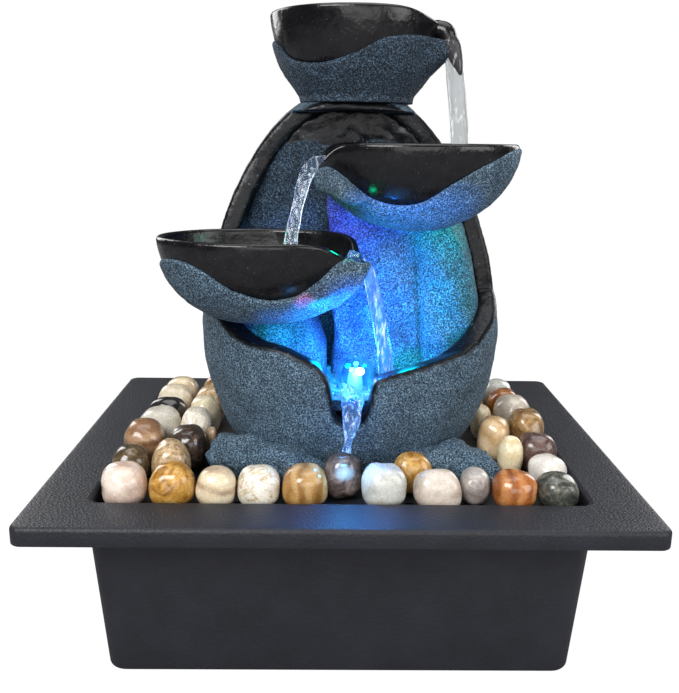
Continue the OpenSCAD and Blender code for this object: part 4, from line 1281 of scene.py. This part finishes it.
STONES = {
    1: ("plain", ((186, 156, 140), (222, 200, 184), (240, 226, 214)), 0.16),
    2: ("mottle", ((128, 84, 28), (186, 136, 58), (214, 172, 96)), 0.18),
    3: ("bands", ((150, 118, 110), (222, 202, 166), (238, 226, 202)), 0.18),
    4: ("veins", ((176, 142, 96), (214, 200, 170), (238, 232, 220)), 0.16),
    5: ("bands", ((110, 72, 34), (176, 132, 72), (216, 186, 138)), 0.16),
    6: ("mottle", ((54, 46, 44), (104, 88, 82), (150, 132, 122)), 0.10),
    7: ("plain", ((168, 168, 158), (198, 198, 190), (222, 222, 216)), 0.20),
    8: ("mottle", ((134, 88, 34), (188, 142, 70), (216, 182, 118)), 0.18),
    9: ("plain", ((176, 160, 142), (210, 196, 182), (232, 222, 210)), 0.22),
    10: ("plain", ((112, 102, 98), (166, 156, 150), (196, 188, 180)), 0.22),
    11: ("bands", ((112, 60, 24), (172, 104, 52), (206, 150, 96)), 0.18),
    12: ("mottle", ((34, 36, 34), (72, 74, 68), (120, 118, 106)), 0.16),
    13: ("plain", ((206, 198, 188), (228, 222, 214), (242, 238, 232)), 0.2),
    14: ("mottle", ((58, 42, 38), (92, 70, 64), (128, 104, 94)), 0.2),
    15: ("bands", ((206, 180, 132), (226, 208, 170), (240, 228, 200)), 0.2),
    16: ("bands", ((160, 120, 78), (204, 170, 124), (232, 212, 180)), 0.2),
    17: ("mottle", ((88, 62, 34), (134, 102, 62), (176, 144, 98)), 0.2),
    18: ("plain", ((160, 146, 132), (190, 178, 162), (214, 204, 190)), 0.22),
    19: ("mottle", ((50, 40, 26), (88, 72, 50), (126, 106, 78)), 0.14),
    20: ("speckle", ((140, 110, 74), (184, 154, 114), (212, 188, 152)), 0.2),
    21: ("bands", ((92, 62, 40), (146, 108, 76), (186, 152, 118)), 0.2),
    22: ("mottle", ((36, 28, 22), (64, 50, 42), (96, 78, 64)), 0.14),
    23: ("plain", ((182, 176, 162), (206, 200, 186), (228, 222, 210)), 0.2),
    24: ("mottle", ((18, 16, 16), (34, 32, 32), (62, 58, 56)), 0.14),
    25: ("veins", ((176, 160, 130), (216, 206, 186), (238, 230, 214)), 0.2),
    26: ("plain", ((190, 176, 150), (214, 200, 176), (232, 222, 202)), 0.2),
    27: ("speckle", ((140, 112, 78), (184, 154, 114), (208, 184, 148)), 0.2),
    28: ("plain", ((196, 180, 146), (220, 206, 174), (236, 226, 204)), 0.2),
    29: ("plain", ((130, 106, 84), (166, 140, 112), (190, 168, 140)), 0.2)}
TURNS = {1: 10, 4: 5, 9: 5, 10: -10, 12: 10, 13: 30, 16: -15, 21: 15, 24: -10, 28: 15}


def make_pebbles():
    for k, (kind, shades, gloss) in STONES.items():
        node = f"pebble_{k:02d}"
        lo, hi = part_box(node)
        v, f = stone(np.array(lo) / MM, np.array(hi) / MM, k, turn=math.radians(TURNS.get(k, 0)))
        at = (np.array(lo) + np.array(hi)) / 2 / MM
        painted_light = None
        # painted highlight: pebble 6 carries an oval of lamp-blue emission for the splash's reflection of the
        # lamp
        if k == 6:
            painted_light = ((at[0] + 0.5, at[1] - 6.5, at[2] + 3.5), (4.2, 4, 3.2), (0.25, 0.62, 1.0), 1.5)
        mat = pebble_material(f"stone_{k:02d}", kind, shades, k, gloss, turn=(k % 3) - 1, painted_light=painted_light)
        finish_piece(f"river_pebble_{k:02d}", v, f, mat, [node], body="deck")

    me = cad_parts["rear_pebbles"].data
    group = list(range(len(me.vertices)))

    def head(i):
        while group[i] != i:
            group[i] = group[group[i]]
            i = group[i]
        return i

    where = {}
    for p in me.vertices:
        key = tuple(round(c * 20000) for c in p.co)
        if key in where:
            group[head(p.index)] = head(where[key])
        else:
            where[key] = p.index
    for e in me.edges:
        group[head(e.vertices[0])] = head(e.vertices[1])
    clusters = {}
    for p in me.vertices:
        clusters.setdefault(head(p.index), []).append(p.co)
    boxes = []
    for pts in clusters.values():
        a = np.array([tuple(c) for c in pts])
        boxes.append((a.min(0) / MM, a.max(0) / MM))
    boxes.sort(key=lambda bx: (round(bx[0][0], 2), round(bx[0][1], 2)))
    kinds = [3, 17, 1, 21, 20, 4, 22, 9, 26, 2, 15, 11, 7]
    parts, rows = [], []
    mats = [bpy.data.materials[f"stone_{k:02d}"] for k in kinds]
    for k, (lo, hi) in enumerate(boxes):
        v, f = stone(lo, hi, 60 + k)
        parts.append((v, f))
        rows += [k % len(mats)] * len(f)
    v, f = join(parts)
    o = finish_piece("river_pebbles_rear", v, f, mats[0], ["rear_pebbles"], body="deck")
    for m in mats[1:]:
        o.data.materials.append(m)
    o.data.polygons.foreach_set("material_index", rows)


def make_works():
    """The basin, the deck and the pump."""
    make_basin(leather_material("basin_charcoal"))
    black = plastic_material("pump_black", srgb(34, 34, 37), 0.42)
    rubber = plastic_material("soft_black", srgb(26, 26, 27), 0.75, 1500, 0.3)
    dress(rubber, "rubber_feet", "cable_gland", "lamp_lead")
    dress(plastic_material("deck_black", srgb(30, 30, 34), 0.5), "deck")
    dress(black, "lamp_nut", "lamp_plug", "pump_body", "pump_cover", "upper_nozzle")
    dress(plastic_material("slider_grey", srgb(92, 92, 96), 0.45), "flow_slider")
    dress(plastic_material("impeller_white", srgb(226, 226, 222), 0.4), "impeller")
    dress(metal_material("ground_steel"), "impeller_shaft")
    dress(plastic_material("cup_grey", srgb(138, 142, 146), 0.5, 600, 0.1), "suction_cups")
    dress(clear_material("clear_tube", (0.82, 0.88, 0.90), 0.15, 1.42), "riser_tube")


make_camera()
make_studio()
make_works()
make_casting()
make_lamp()
make_glow()
make_water()
make_pebbles()
